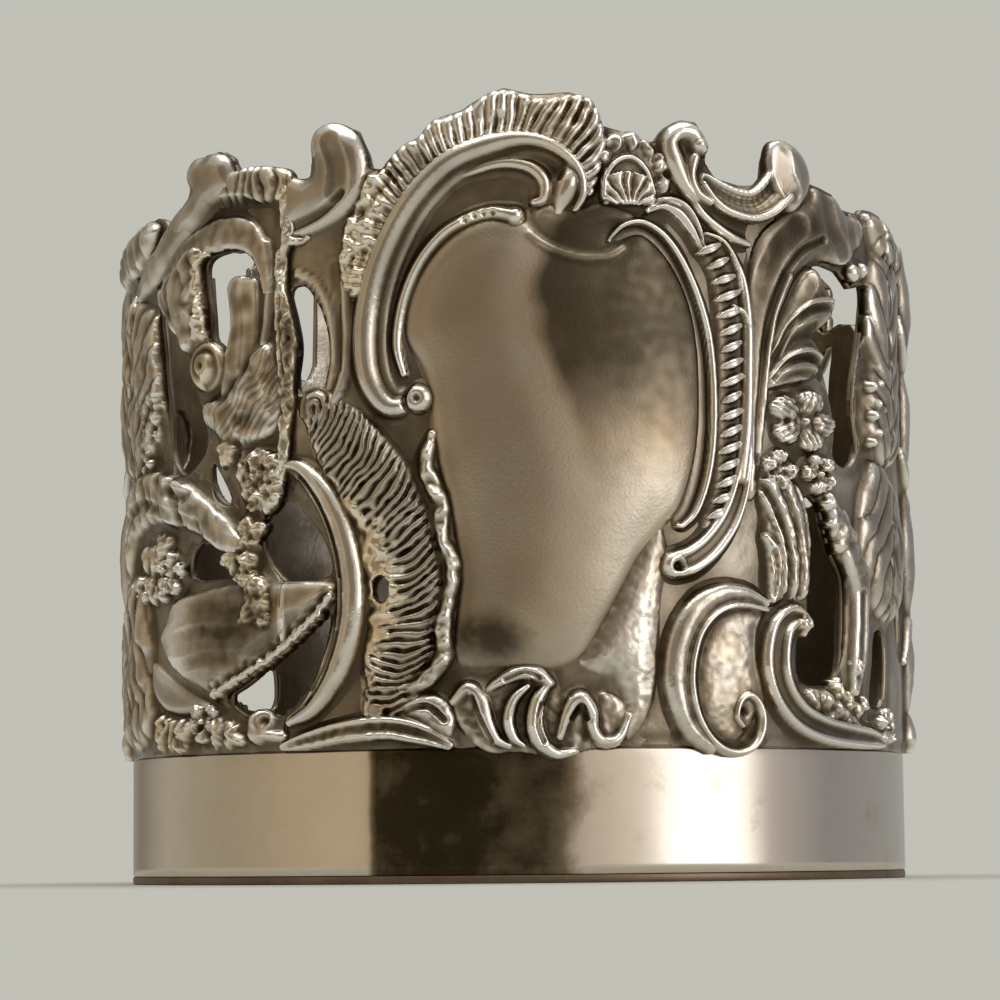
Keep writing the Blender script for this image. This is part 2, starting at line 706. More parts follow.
bandLook = {
    "cloudScale": 230, "cloudDetail": 8, "cloudRough": 0.65, "cloudGain": 0.5,
    "patch": [(spot, (tone, tone, tone)) for spot, tone in (
        (0.0, 0.44), (0.318, 0.46), (0.33, 0.0), (0.46, 0.02), (0.55, 0.12), (0.585, 0.42), (1.0, 0.42))],
    "stops": [(0.0, (0.02, 0.014, 0.008)), (0.28, (0.06, 0.047, 0.026)), (0.45, (0.28, 0.23, 0.15)),
              (0.62, (0.78, 0.71, 0.61)), (1.0, (0.9, 0.86, 0.8))],
    "roughLow": 0.3, "roughHigh": 0.1, "scratchScale": (160, 160, 2600), "scratchDetail": 4,
    "bumpStrength": 0.12, "bumpDepth": 0.03,
}
floorLook = dict(bandLook, roughLow=0.5, roughHigh=0.3,
                 patch=[(0.0, (0.1, 0.1, 0.1)), (1.0, (0.1, 0.1, 0.1))],
                 stops=[(0.0, (0.05, 0.034, 0.021)), (0.5, (0.3, 0.225, 0.16)), (1.0, (0.58, 0.48, 0.39))])
finishes = {
    "ornament": tarnishedSilver("chasedSilver", ornamentLook),
    "gallery": tarnishedSilver("gallerySilver", galleryLook),
    "shield": tarnishedSilver("shieldSilver", shieldLook),
    "solder": tarnishedSilver("solderSilver", solderLook), "band": plainSilver("bandSilver", bandLook),
    "floor": plainSilver("wornCopper", floorLook),
}
print("finishes", len(finishes))

# pieces of the half wall; angles in degrees from the middle of the shield, the rest in mm
beyond = 180  # what shows left of the joint belongs to the other half, half a turn on


def turned(rows, shift=beyond):
    return [(row[0] + shift, *row[1:]) for row in rows]


def turnedLines(lines, shift=beyond):
    return [turned(rows, shift) for rows in lines]


def turnedSpots(rows, shift=beyond):  # rows that start with a place
    return [((a + shift, h), *rest) for (a, h), *rest in rows]


gallery = {
    "span": (-35, 147, 9.2, 57.4), "pitch": 0.3, "rimRound": 1.5, "rimDrop": 0.5, "halvings": 6,
    "rough": [(0.06, 3.2, 3), (0.015, 0.9, 5)], "innerLift": -0.68, "innerRough": (0.12, 4, 9),
    "rimRise": (0.45, -0.35), "creaseCut": (0.4, 0.25), "eyelet": (-18.5, 21), "eyeletSize": (0.7, 1.0),
    "wider": [
        turned([(-49.4, 46), (-46, 46.5), (-43, 46), (-43, 41), (-43.6, 39), (-46.4, 39.4), (-48.4, 40.6),
                (-48.8, 42.4), (-49.6, 44.4)]),
        [(-33, 43), (-31, 43.4), (-29, 42), (-29, 36), (-31.4, 35.4), (-31.9, 37.5), (-31.4, 39.2),
         (-32.6, 41)],
    ],
    "rims": [[(-31.4, 44.2), (-28.6, 43.3), (-26.8, 41.4), (-26, 39), (-26.4, 36.6), (-28.4, 34.3)],
             [(-24.2, 44), (-23.6, 40), (-24, 37), (-25.6, 34.9), (-28.5, 33.6)],
             turned([(-37.6, 47), (-40, 45.4), (-40.4, 42.6), (-39.4, 40.2), (-40.4, 38)]),
             turned([(-36.2, 46), (-36.6, 42), (-37.4, 39.4)])],
    "farRims": [
        ([(43.6, 38), (42.4, 42), (42.6, 46), (43.4, 50)], 0.8, -0.5),
        ([(41, 40), (40.6, 44), (41.4, 48)], 0.5, -0.35),
        ([(45, 40.5), (44.8, 44), (45.2, 48)], 0.5, -0.35),
        ([(27, 47.6), (30, 46), (31.6, 43), (31.8, 40)], 0.6, -0.45),
        ([(24, 49.4), (28, 49.2), (31, 47.6)], 0.6, -0.4), ([(57.4, 46), (58, 43), (57.6, 40)], 0.6, -0.4),
    ],
    "rubbed": [((29, 19), (9, 9), -0.1, 41), ((36, 36), (5, 12), -0.2, 43), ((-29, 38), (5, 7), -0.15, 45),
               ((52, 34), (6, 10), -0.15, 47)],
    "creases": [[(-31.5, 47), (-28, 47.2), (-25, 48.4)], [(-25.4, 44.5), (-24.8, 40), (-25.2, 37)],
                [(18.6, 18), (18.2, 14), (17, 11.5)], [(21, 47.2), (19, 48.2), (15, 48.3)]],
}


def galleryOutline(sheet, solid):  # how far each point lies inside the pierced wall, mm
    u, h = sheet["u"], sheet["h"]
    inside = np.array([solid(a, b) for a, b in zip(u, h)])
    table = sheet["order"].reshape(sheet["shape"])
    crossings = []
    for first, second in ((table[:, :-1], table[:, 1:]), (table[:-1], table[1:])):
        for a, b in zip(first.ravel(), second.ravel()):
            if inside[a] == inside[b]:
                continue
            near, far = (a, b) if inside[a] else (b, a)
            low, high = 0.0, 1.0
            for _ in range(gallery["halvings"]):
                share = (low + high) / 2
                if solid(u[near] + (u[far] - u[near]) * share, h[near] + (h[far] - h[near]) * share):
                    low = share
                else:
                    high = share
            crossings.append((u[near] + (u[far] - u[near]) * low, h[near] + (h[far] - h[near]) * low))
    edge = KDTree(len(crossings))
    for i, (a, b) in enumerate(crossings):
        edge.insert((a, b, 0), i)
    edge.balance()
    dist = np.array([edge.find((a, b, 0))[2] for a, b in zip(u, h)])
    return np.where(inside, dist, -dist)


def eyelet(sheet):  # small hole through the shell band and the wall behind it
    (a, h), (wide, high) = gallery["eyelet"], gallery["eyeletSize"]
    off = np.hypot((sheet["u"] - a * arc) / wide, (sheet["h"] - h) / high) - 1
    sheet["reach"] = np.minimum(sheet["reach"], off * wide)


def widened(sheet):  # openings drawn out to the outline that shows
    for outline in gallery["wider"]:
        line = curve(outline, 5, True)
        near, dist, _, _ = nearest(sheet, line, relief["margin"])
        out = np.where(within(sheet, near, line), -dist, dist)
        sheet["reach"][near] = np.minimum(sheet["reach"][near], out)


def galleryOf(node, turn):
    mesh = frame["nodes"][node].data
    tree = BVHTree.FromPolygons([v.co for v in mesh.vertices], [tuple(p.vertices) for p in mesh.polygons])

    def solid(u, h):
        a = u / wallRadius + turn
        return tree.ray_cast(Vector((0, 0, h * mm)), Vector((math.sin(a), -math.cos(a), 0)))[0] is not None

    def draw(sheet):
        sheet["reach"] = galleryOutline(sheet, solid)
        eyelet(sheet)
        widened(sheet)
        found = sheet["reach"][sheet["order"]].reshape(sheet["shape"])
        openwork["room"] = np.minimum(openwork.get("room", found), found)
        sheet["lift"] = np.zeros(len(sheet["u"]))
        roughen(sheet, *gallery["rough"])
        scores(sheet, gallery["rims"], *gallery["rimRise"])
        scores(sheet, gallery["creases"], *gallery["creaseCut"])
        if turn:
            grooves(sheet, gallery["farRims"])
        sheet["lift"] -= gallery["rimDrop"] * (1 - eased(sheet["reach"], 0, gallery["rimRound"])) ** 2
        stains(sheet, gallery["rubbed"])
    return draw


def galleryInside(u, h):
    depth, size, seed = gallery["innerRough"]
    waves = np.array([noise.noise((a / size, b / size, seed)) for a, b in zip(u, h)])
    return gallery["innerLift"] + depth * waves


for side, turn in (("front", 0), ("back", math.pi)):
    draw = galleryOf(side + "_gallery", turn)
    wall = chase(side + "Gallery", draw, gallery["span"], gallery["pitch"], galleryInside, False)
    if side == "back":
        wall.data.transform(halfTurn)
    settle(wall, side + "_gallery", "gallery")
    print(wall.name, "faces", len(wall.data.polygons))

shield = {
    "span": (-17, 28, 14, 50),
    "edge": [(1, 47.3), (6, 46.4), (11, 46), (14.5, 45.9), (18, 46.5), (22.3, 44.4), (25.4, 40.8),
             (26.4, 36), (25.8, 31), (23.4, 27), (20.4, 25.2), (16.6, 22.9), (12.8, 19.4), (9, 16.2),
             (4, 15), (-2, 15.2), (-8.4, 15.8), (-8, 21), (-8.6, 25.5), (-10.8, 30), (-11.4, 33),
             (-12.4, 36.6), (-15.2, 39.4), (-13.8, 43), (-9.6, 45.9), (-4, 47.5)],
    "rise": (1.2, 9.5), "soften": (0.9, 1.0), "rough": (0.02, 5, 2), "browRise": (0.7, 1.6),
    "creases": [([(2.4, 46.4), (5, 45.3), (9, 44.6), (13, 44.7), (15, 45.4)], 0.3, -0.2),
                ([(4, 46.8), (9, 46), (13.6, 46.4)], 1.1, 0.2)],
    "stains": [((9, 47), (6, 1.6), 0.2, 7), ((-3.4, 17.2), (4.2, 1.7), 0.5, 9),
               ((-9, 21), (2.4, 6), 0.15, 15), ((17, 27), (6, 5), -0.12, 17)],
    "veil": [(9, 28), (7, 32), (4.4, 36), (2.4, 39), (1.2, 41.6), (2.6, 44.6), (5.4, 48)],  # its left side
    "veilWave": (0.5, 2.2, 18), "veilSlant": 0.12, "veilFrom": (25, 11), "veilSoft": 2.6, "veilDark": 0.44,
    "glow": 0.16, "glowOff": -2.2, "glowHalf": 2, "glowFrom": (26, 8), "speckle": (0.05, 0.9, 19),
    "speckleFrom": (8, 8),
    "brow": [(2.6, 47.2), (4.6, 48.6), (8.4, 48.2), (12, 48.7), (15.4, 48.3), (17, 47.6), (14.2, 46.4),
             (12.6, 44.7), (7.2, 44.8), (3.8, 45.8)],
}


def drawShield(sheet):
    d = shield
    dome(sheet, d["edge"], *d["rise"])
    dome(sheet, d["brow"], *d["browRise"])
    soften(sheet, *d["soften"])
    grooves(sheet, d["creases"])
    roughen(sheet, d["rough"])
    stains(sheet, d["stains"])
    a, h = sheet["u"] / arc, sheet["h"]
    off = a - np.interp(h, [row[1] for row in d["veil"]], [row[0] for row in d["veil"]])
    off += waver(sheet, *d["veilWave"])
    fade = eased(h - d["veilSlant"] * a, *d["veilFrom"])
    sheet["stain"] += d["veilDark"] * eased(off, 0, d["veilSoft"]) * fade
    glow = np.exp(-(((off - d["glowOff"]) / d["glowHalf"]) ** 2))
    sheet["stain"] -= d["glow"] * glow * eased(h, *d["glowFrom"])
    sheet["stain"] += waver(sheet, *d["speckle"]) * eased(a, *d["speckleFrom"])


mount("shield", [(drawShield, shield["span"])], "shield", pitch=0.2)

shieldScroll = {
    "span": (-24, 12, 32.5, 55),
    "steps": [
        (strap, [(-14.2, 34.5, 0.95, 0.95), (-17, 34.4, 1.15, 1.15), (-19.3, 36.2, 1.3, 1.25),
                 (-19.9, 39, 1.35, 1.3), (-19.1, 42.2, 1.35, 1.3), (-17, 45.4, 1.35, 1.3),
                 (-13.4, 48.7, 1.35, 1.3), (-8.6, 51.2, 1.35, 1.3), (-3.3, 52.4, 1.3, 1.3),
                 (1.5, 52.9, 1.0, 1.3), (5.5, 52.4, 0.85, 1.25), (8.4, 51, 0.8, 1.15),
                 (9.2, 49.4, 0.7, 1.0), (8.4, 48.2, 0.45, 0.8)], rolledRib),  # body
        (strap, [(-7, 50.6, 0.35, 0.5), (-2, 51.4, 0.5, 0.7), (2, 51.2, 0.6, 0.85), (4.2, 50.2, 0.6, 0.95),
                 (4.2, 48.9, 0.5, 0.85), (2.9, 48.6, 0.35, 0.6)]),  # volute
        (strap, [(6.2, 47.9, 0.4, 0.7), (6.9, 49, 0.85, 1.15), (7.7, 50.1, 0.9, 1.25),
                 (7.8, 51, 0.6, 0.9)]),  # bulb
        (ball, (-13.2, 34.6), 1.15, 1.15),  # knob
        (pit, (-13.2, 34.6), 0.35, 0.45),  # knob
        (grooves, [([(-13.8, 35.9), (-14.9, 34.6), (-14.2, 33.3)], 0.25, 0.4)]),
    ],
}

mount("shield_scroll", [(shieldScroll["steps"], shieldScroll["span"])], pitch=0.12)

shieldLips = {
    "span": (-18, 30, 24, 50),
    "steps": [
        (strap, [(-15.2, 36.4, 0.3, 0.5), (-16, 38.6, 0.42, 0.75), (-15.1, 41.6, 0.45, 0.8),
                 (-12.9, 44.3, 0.45, 0.8), (-9.8, 46.3, 0.45, 0.8), (-6.4, 47.4, 0.45, 0.8),
                 (-3, 47.9, 0.5, 0.85), (-0.4, 47.7, 0.6, 0.95)]),  # left
        (ball, (0.3, 47.6), 0.75, 1.05),  # bead
        (strap, [(13.6, 45.9, 0.4, 0.6), (15.5, 46.7, 0.6, 0.8), (18, 46.8, 0.7, 0.9), (21, 45.6, 0.8, 0.9),
                 (24, 43, 0.85, 0.9), (26.2, 39.6, 0.9, 0.9), (27, 36, 0.9, 0.9), (26.9, 32, 0.9, 0.9),
                 (26, 29, 0.85, 0.9), (24.4, 26.7, 0.75, 0.9), (22.8, 25.7, 0.6, 0.8)], lipRib),  # right
        (pits, [(-6.4, 47.3), (-5.1, 47.6), (-3.9, 47.75), (-2.7, 47.8)], 0.22, 0.4),  # notches
    ],
}

mount("shield_lips", [(shieldLips["steps"], shieldLips["span"])], pitch=0.12)

ladder = {
    "span": (17.5, 36, 24, 50),
    "bed": [(26.8, 46.1, 0.8, 0.3), (29.2, 44.6, 1.0, 0.35), (30.8, 42, 1.1, 0.35),
            (31.2, 38.5, 1.15, 0.35), (31.1, 34.5, 1.15, 0.35), (30.7, 31, 1.1, 0.35),
            (29.8, 28, 1.0, 0.35), (27.8, 25.6, 0.8, 0.3)],
    "rungs": 17, "rungStart": 0.6, "rungSpare": 0.3, "rungHalf": 0.8, "halfJitter": (0.25, 1.7, 0.3, 0),
    "rungSlant": 0.35, "slantJitter": (0.12, 2.3, 4, 0), "rungCut": (0.16, 0.22),
    "rungEnds": [(-1, 0.16, 0.8), (0, 0.44, 1), (1, 0.22, 0.9)],  # side, half width, crown
    "creases": [([(19.5, 48.7), (22.5, 48.9), (25, 47.9), (26.4, 46.4)], 0.16, 0.25)],
    "rims": [[(27.4, 46.7, 0.16, 0.7), (30, 46.2, 0.18, 0.8), (32.2, 44.6, 0.18, 0.8),
              (33, 42.8, 0.16, 0.7)],
             [(31.4, 41.6, 0.16, 0.7), (33.4, 41, 0.18, 0.8), (34.4, 39.6, 0.16, 0.7)]],
    "head": [(18.8, 48.2, 0.3, 0.5), (21, 48.7, 0.6, 0.75), (23.6, 48.3, 0.85, 0.9), (25.6, 47, 0.7, 0.85),
             (26.8, 45.7, 0.35, 0.6)],
}


def lengthAlong(line):
    return np.concatenate([[0], np.cumsum(np.hypot(*np.diff(line[:, :2], axis=0).T))])


def drawLadder(sheet):
    d = ladder
    strap(sheet, d["bed"], flatRib)
    line = curve(d["bed"])
    length = lengthAlong(line)
    for k in range(d["rungs"]):
        at = (k + d["rungStart"]) / (d["rungs"] + d["rungSpare"]) * length[-1]
        u, h = [np.interp(at, length, line[:, c]) for c in (0, 1)]
        half = d["rungHalf"] + jitter(k, *d["halfJitter"])
        slant = d["rungSlant"] + jitter(k, *d["slantJitter"])
        ends = [((u + end * half) / arc, h + end * slant, wide, crown) for end, wide, crown in d["rungEnds"]]
        strap(sheet, ends)
        groove(sheet, [row[:2] for row in ends], *d["rungCut"])
    straps(sheet, d["rims"])
    strap(sheet, d["head"], veinRib)
    grooves(sheet, d["creases"])


mount("ladder_strip", [(drawLadder, ladder["span"])], pitch=0.1)

outerLip = {
    "span": (19, 37, 20.8, 47),
    "steps": [
        (strap, [(31.4, 45.6, 0.25, 0.5), (33.3, 43.6, 0.35, 0.65), (34.2, 40.5, 0.45, 0.7),
                 (34.1, 36.5, 0.55, 0.75), (33.6, 32.5, 0.65, 0.85), (32.5, 29, 0.7, 0.9)]),  # strip
        (strap, [(33.6, 32.5, 0.5, 0.8), (32.5, 29, 0.75, 0.95), (30.5, 26.2, 0.95, 1.0),
                 (27.6, 24.2, 1.05, 1.0), (24.8, 23.1, 1.1, 1.05), (22.8, 22.7, 1.1, 1.05)],
         doubleRib),  # band
        (ball, (22, 22.6), 1.1, 1.1),  # knob
        (pit, (22.3, 22.5), 0.42, 0.75),  # eye
    ],
}

mount("outer_lip", [(outerLip["steps"], outerLip["span"])], pitch=0.11)

tailRib = {
    "span": (6.5, 22, 8.8, 27),
    "steps": [
        (dome, [(20, 25.6), (17.6, 24.2), (14.6, 21.2), (11.4, 18.2), (8.4, 15.8), (10.6, 14.8),
                (13.2, 14.4), (14.4, 12.6), (13.6, 10.2), (16, 10.4), (18.6, 12.6), (19.6, 16), (20, 20),
                (21, 23.8)], 0.62, 2.2),  # blade
        (soften, 0.7, 1.6),
        (stains, [((15.6, 17.6), (5, 6), -0.15, 21)]),
        (roughen, (0.03, 1.2, 22), (0.02, 0.45, 24)),
        (mottle, 0.07, 0.6, 25),  # mottle
    ],
}

mount("tail_rib", [(tailRib["steps"], tailRib["span"])])

crest = {
    "span": (-26, 14.5, 41, 57.4),
    "edge": [(-20.2, 51.2), (-18.4, 51.2), (-16.5, 52.4), (-14.6, 53.2), (-13, 53.5), (-11, 54.7),
             (-9, 54.9), (-7, 55.3), (-5.5, 55.7), (-3.5, 56.5), (-1, 56.85), (2, 56.5), (5, 56.2),
             (8, 56.5), (10, 56.4), (11.5, 55.8), (12.6, 54.2), (13, 52.8), (12.2, 50.8), (11, 49),
             (9.6, 49.2), (9, 51), (6, 52.6), (1.5, 53.3), (-3.3, 53), (-9, 51.6), (-14, 49), (-18, 45.8),
             (-20.6, 42.6), (-22.8, 42.2), (-24.4, 43.6), (-23.8, 46.6), (-21.8, 49.2)],
    "rise": (0.85, 0.55), "centre": (-3, 43), "ribs": 100, "ribDepth": 0.4, "ribUneven": (0.5, 2, 13),
    "slant": 0.12, "wander": (0.3, 2.4, 12), "rough": [(0.1, 0.9, 14), (0.15, 2.8, 16)], "tail": (-15, -4),
    "tailSmooth": 0.6, "tailCrumple": (1.3, 0.6, 18), "tailGilt": 0.6,
    "stains": [((-21, 47), (4, 4.5), -0.3, 15), ((-7, 54.6), (8, 2.4), -0.25, 17)],
}


def drawCrest(sheet):
    d = crest
    dome(sheet, d["edge"], *d["rise"])
    far, turn = polar(sheet, d["centre"])
    tail = eased(sheet["u"] / arc, *d["tail"])
    depth = d["ribDepth"] * (1 + waver(sheet, *d["ribUneven"])) * (1 - d["tailSmooth"] * tail)
    phase = turn / (2 * math.pi) * d["ribs"] + waver(sheet, *d["wander"]) - d["slant"] * far
    sheet["lift"] += flutes(phase, depth)
    roughen(sheet, *d["rough"])
    sheet["lift"] += tail * crumple(sheet, *d["tailCrumple"])
    sheet["warm"] += d["tailGilt"] * tail
    stains(sheet, d["stains"])


mount("crest", [(drawCrest, crest["span"])], pitch=0.12)

fanShell = {
    "span": (10.5, 23, 47.5, 54.6),
    "edge": [(12.2, 48.6), (12.4, 50.6), (14, 51.8), (16.4, 52.1), (18.6, 51.2), (19.8, 49.4), (19.4, 48.5),
             (16, 48.3)],
    "rise": (0.55, 0.5), "root": (15.8, 48.2), "ribs": 8.0, "radius": 2.7, "rootTop": 48.5, "ribShift": 0.5,
    "ribDepth": 0.35, "ribRise": 0.3, "wander": (0.25, 0.9, 23),
    "lip": [(12.4, 48.9, 0.25, 0.8), (12.6, 50.4, 0.28, 0.9), (14.2, 51.6, 0.3, 0.95),
            (16.4, 51.9, 0.3, 0.95), (18.4, 51, 0.28, 0.9), (19.5, 49.4, 0.25, 0.8)],
    "lumps": [((14.2, 52.9), 0.8, 0.75), ((16.4, 53.1), 0.85, 0.8), ((18.4, 52.5), 0.85, 0.7),
              ((20.2, 51.6), 0.9, 0.65), ((20.9, 50.2), 0.8, 0.6), ((12.4, 52), 0.7, 0.6)],
    "foldDepth": 0.4, "foldLevel": 0.25, "folds": (1.1, 21), "rough": (0.1, 0.6, 22),
}


def drawFanShell(sheet):
    d = fanShell
    balls(sheet, d["lumps"])
    sheet["lift"] += d["foldDepth"] * (d["foldLevel"] - np.abs(grain(sheet, *d["folds"])))
    roughen(sheet, d["rough"])
    dome(sheet, d["edge"], *d["rise"])
    far, turn = polar(sheet, d["root"])
    inner = (far < d["radius"]) & (sheet["h"] > d["rootTop"])
    phase = turn / math.pi * d["ribs"] + d["ribShift"] + waver(sheet, *d["wander"])
    ribs = flutes(phase, d["ribDepth"]) * np.clip(far, 0, 1) + d["ribRise"]
    sheet["lift"] += np.where(inner, ribs, 0)
    strap(sheet, d["lip"])


mount("fan_shell", [(drawFanShell, fanShell["span"])], pitch=0.1)

trough = {
    "span": (19.5, 48.5, 45.4, 55.2),
    "leftHorn": [
        (25.8, 49.2, 0.45, 0.8), (24.2, 50.2, 0.7, 0.95), (22.8, 51.8, 0.85, 1.0), (22.2, 53.2, 0.7, 0.9),
        (23.6, 54, 0.75, 0.95), (25.4, 53.9, 0.8, 1.0), (26.6, 53, 0.75, 1.05),
    ],
    "eye": (26.3, 53.1), "eyeRise": (0.72, 1.25),
    "stem": [(25.6, 52.2, 0.5, 1.0), (25, 50.8, 0.5, 1.0), (26, 49.6, 0.5, 0.95), (28, 49, 0.4, 0.9)],
    "hollow": [(27.6, 50.6, 0.55, 0.8), (30, 49.9, 0.75, 0.85), (33, 49.4, 0.85, 0.85),
               (36, 49.5, 0.9, 0.9), (38.8, 50.6, 0.95, 0.95), (40.2, 52, 0.9, 1.0)],
    "lines": (0.3, -0.05, -0.4), "lineCut": (0.16, 0.1), "ribStep": 1.9, "ribDepth": 0.04, "ribReach": 0.8,
    "ridge": [(27, 50.3, 0.3, 0.85), (28.6, 49.2, 0.36, 0.95), (31, 48.4, 0.4, 1.0), (35, 48.1, 0.42, 1.0),
              (38.6, 48.7, 0.45, 1.0), (41.8, 50, 0.5, 1.0)],
    "lip": [(25.4, 49.2, 0.3, 0.6), (27.2, 48, 0.36, 0.7), (29.6, 47.1, 0.4, 0.75), (32, 46.5, 0.4, 0.7),
            (34.6, 46.2, 0.3, 0.5)],
    "rightHorn": [(38.2, 51.2), (38.1, 52.8), (39, 53.9), (41, 54.2), (43.8, 53.8), (45.8, 52.8),
                  (46.6, 51.4), (45.4, 49.9), (42.8, 48.8), (40, 49.2)],
    "hornRise": (1.05, 1.9), "hornHollows": [([(40.2, 53.2), (40.4, 51.6), (42, 50.2)], 0.8, 0.2)],
}


def drawTrough(sheet):
    d = trough
    strap(sheet, d["lip"])
    strap(sheet, d["hollow"], coveRib)
    near, dist, place, _ = nearest(sheet, curve(d["hollow"]), d["ribReach"])
    sheet["lift"][near] += flutes(place / d["ribStep"], d["ribDepth"]) * (dist < d["ribReach"])
    for shift in d["lines"]:
        groove(sheet, [(a, h + shift) for a, h, _, _ in d["hollow"]], *d["lineCut"])
    dome(sheet, d["rightHorn"], *d["hornRise"])
    grooves(sheet, d["hornHollows"])
    strap(sheet, d["ridge"])
    strap(sheet, d["leftHorn"])
    strap(sheet, d["stem"])
    ball(sheet, d["eye"], *d["eyeRise"])


mount("trough_scroll", [(drawTrough, trough["span"])], pitch=0.11, frontOnly=True)

hook = {
    "span": (-34.2, -18.5, 46, 55.8),
    "steps": [
        (dome, [(-33.4, 51.2), (-29.6, 51.1), (-28.6, 51.8), (-28.4, 53.4), (-26, 54.2), (-22.4, 53),
                (-21.4, 50.6), (-23.4, 48.8), (-28, 48.2), (-33.4, 47.8)], 0.85, 1.6),  # plate
        (dome, [(-29, 53.4), (-28.5, 54.4), (-27, 54.95), (-25, 55.05), (-23, 54.6), (-21.4, 53.8),
                (-20.2, 52.2), (-20.2, 50.6), (-21.4, 49.2), (-23.6, 49.4), (-24.4, 51), (-25.4, 52.4),
                (-27, 52.4), (-28.6, 52.4)], 1.15, 1.7),  # knob
        (strap, [(-21.6, 51.8, 0.75, 1.1), (-22.3, 50, 0.85, 1.1), (-24.2, 48.7, 0.8, 1.0),
                 (-27, 47.9, 0.65, 0.85), (-30, 47.4, 0.5, 0.65), (-32.6, 47.1, 0.3, 0.4)]),  # tail
        (soften, 0.55, 0.9),
        (grooves, [([(-33, 47.6), (-29.6, 48), (-26.4, 48.7), (-23.8, 49.8)], 0.4, 0.2),
                   ([(-25.4, 53.6), (-24.2, 51.6), (-24.6, 49.8)], 0.8, 0.16)]),
        (roughen, (0.06, 2.2, 39)),
    ],
}

mount("hook_scroll", [(hook["steps"], hook["span"])], pitch=0.12)

longLeaf = {
    "span": (31.8, 69, 27, 51.8),
    "steps": [
        (dome, [(33.2, 28), (33.5, 33), (34.3, 38), (34.4, 42), (34.8, 44.6), (36.4, 46.8), (40, 48.4),
                (45.8, 49.8), (47.4, 51), (50, 50.9), (53, 50.6), (55.6, 49.6), (60, 49.4), (61, 48),
                (58, 46.6), (55, 45.6), (50, 45.6), (46.8, 45.4), (43, 43.8), (40, 41), (38.4, 37.6),
                (37, 33), (35.6, 28)], 0.62, 1.5),  # blade
        (grooves, [([(35.4, 29), (36.2, 35), (37.4, 40), (39.8, 43.4), (44, 46), (49, 47.2)], 0.4, 0.22),
                   ([(34.6, 31), (35.3, 37), (36.2, 42), (39, 45.6), (44, 48)], 1.0, 0.16),
                   ([(36, 31), (37, 36.6), (38.8, 40.8), (42, 44)], 0.35, -0.18),
                   ([(50, 50.4), (51, 48.4), (54, 46.6)], 0.9, 0.16),
                   ([(56, 49.2), (56.6, 47.6), (58, 47)], 0.7, 0.14)]),
        (balls, [((57.2, 45.2), 0.75, 0.8), ((60.4, 45.6), 0.6, 0.7), ((66.4, 47.8), 0.9, 0.8)]),  # lobes
        (roughen, (0.06, 1.8, 31)),
        (stains, [((42, 45), (9, 8), 0.26, 36)]),
    ],
}

mount("long_leaf", [(longLeaf["steps"], longLeaf["span"])], frontOnly=True)

leafFan = {
    "span": (35.8, 53.2, 35, 46),
    "steps": [
        (dome, [(37.2, 35.8), (39.4, 38.2), (42.6, 39.6), (46, 39.9), (48.2, 39), (48.9, 37.8),
                (46.6, 36.8), (42.6, 36.2)], 0.75, 1.3),  # lower
        (dome, [(37.6, 37.4), (39.6, 40.4), (42.8, 43), (46, 44.9), (48.2, 44.8), (49.4, 43.8),
                (51.9, 42.7), (51.6, 41.8), (49.6, 40.9), (47, 40.1), (43.6, 39.2), (40.4, 37.8)], 0.8,
         1.3),  # upper
        (grooves, [
             ([(37.8, 37.3), (41, 40), (45.4, 41.7), (51, 42.2)], 0.45, 0.24),
             ([(37.8, 37.5), (41, 40.4), (45.4, 42.3), (51, 42.8)], 0.2, -0.2),
             ([(38.4, 38.2), (41.6, 41.2), (46, 43.9)], 0.7, 0.16),
             ([(38.2, 37.4), (42, 39.6), (46.6, 40.6)], 0.5, 0.18),
             ([(37.6, 36.2), (41, 37.7), (45, 38.2), (48.4, 37.7)], 0.4, 0.24),
             ([(37.6, 36.4), (41, 38.1), (45, 38.8), (48, 38.4)], 0.2, -0.2),
             ([(39, 36.4), (43, 37), (46.6, 37.1)], 0.35, 0.16),
         ]),
        (roughen, (0.05, 1.4, 33)),
        (stains, [((44, 40), (7, 5), 0.2, 35)]),
    ],
}

mount("leaf_fan", [(leafFan["steps"], leafFan["span"])], pitch=0.11)

blossoms = {
    "places": [
        ((44.3, 33.5), 2.35, 1.1, 0.3, 1.5), ((47.4, 29.7), 1.65, 1.0, 0.9, 1.15),
        ((39.4, 29.7), 1.6, 0.9, 0.1, 1.1), ((115, 34), 1.7, 0.75, 0.5, 0.9),
        ((122.2, 23.1), 1.75, 1.0, 0.2, 1.1), ((130.5, 11.9), 1.6, 0.95, 0.7, 1.2),
        ((110, 21.8), 1.7, 0.95, 0.4, 1.1), ((66, 11.3), 1.45, 0.9, 0.0, 1.3),
    ],  # place, radius, crown, turn, stretch
    "petals": 5, "lean": 0.25, "leanSeed": 3, "uneven": 0.15, "unevenSeed": 7, "petalAt": 0.56,
    "petalHalf": 0.44, "petalWide": (0.3, 0.16), "petalRise": (0.55, 0.45), "petalCurve": 0.7,
    "petalEdge": 0.4, "veinStep": 0.17, "veinShift": 0.5, "veinDepth": 0.22, "veinFrom": 1.6,
    "cores": [(0.3, 0.55), (0.16, 0.85)], "disc": (0.82, 0.5), "rough": (0.1, 0.5, 40), "small": 2,
    "crumple": (0.75, 0.42, 140), "spare": 1.15,
}


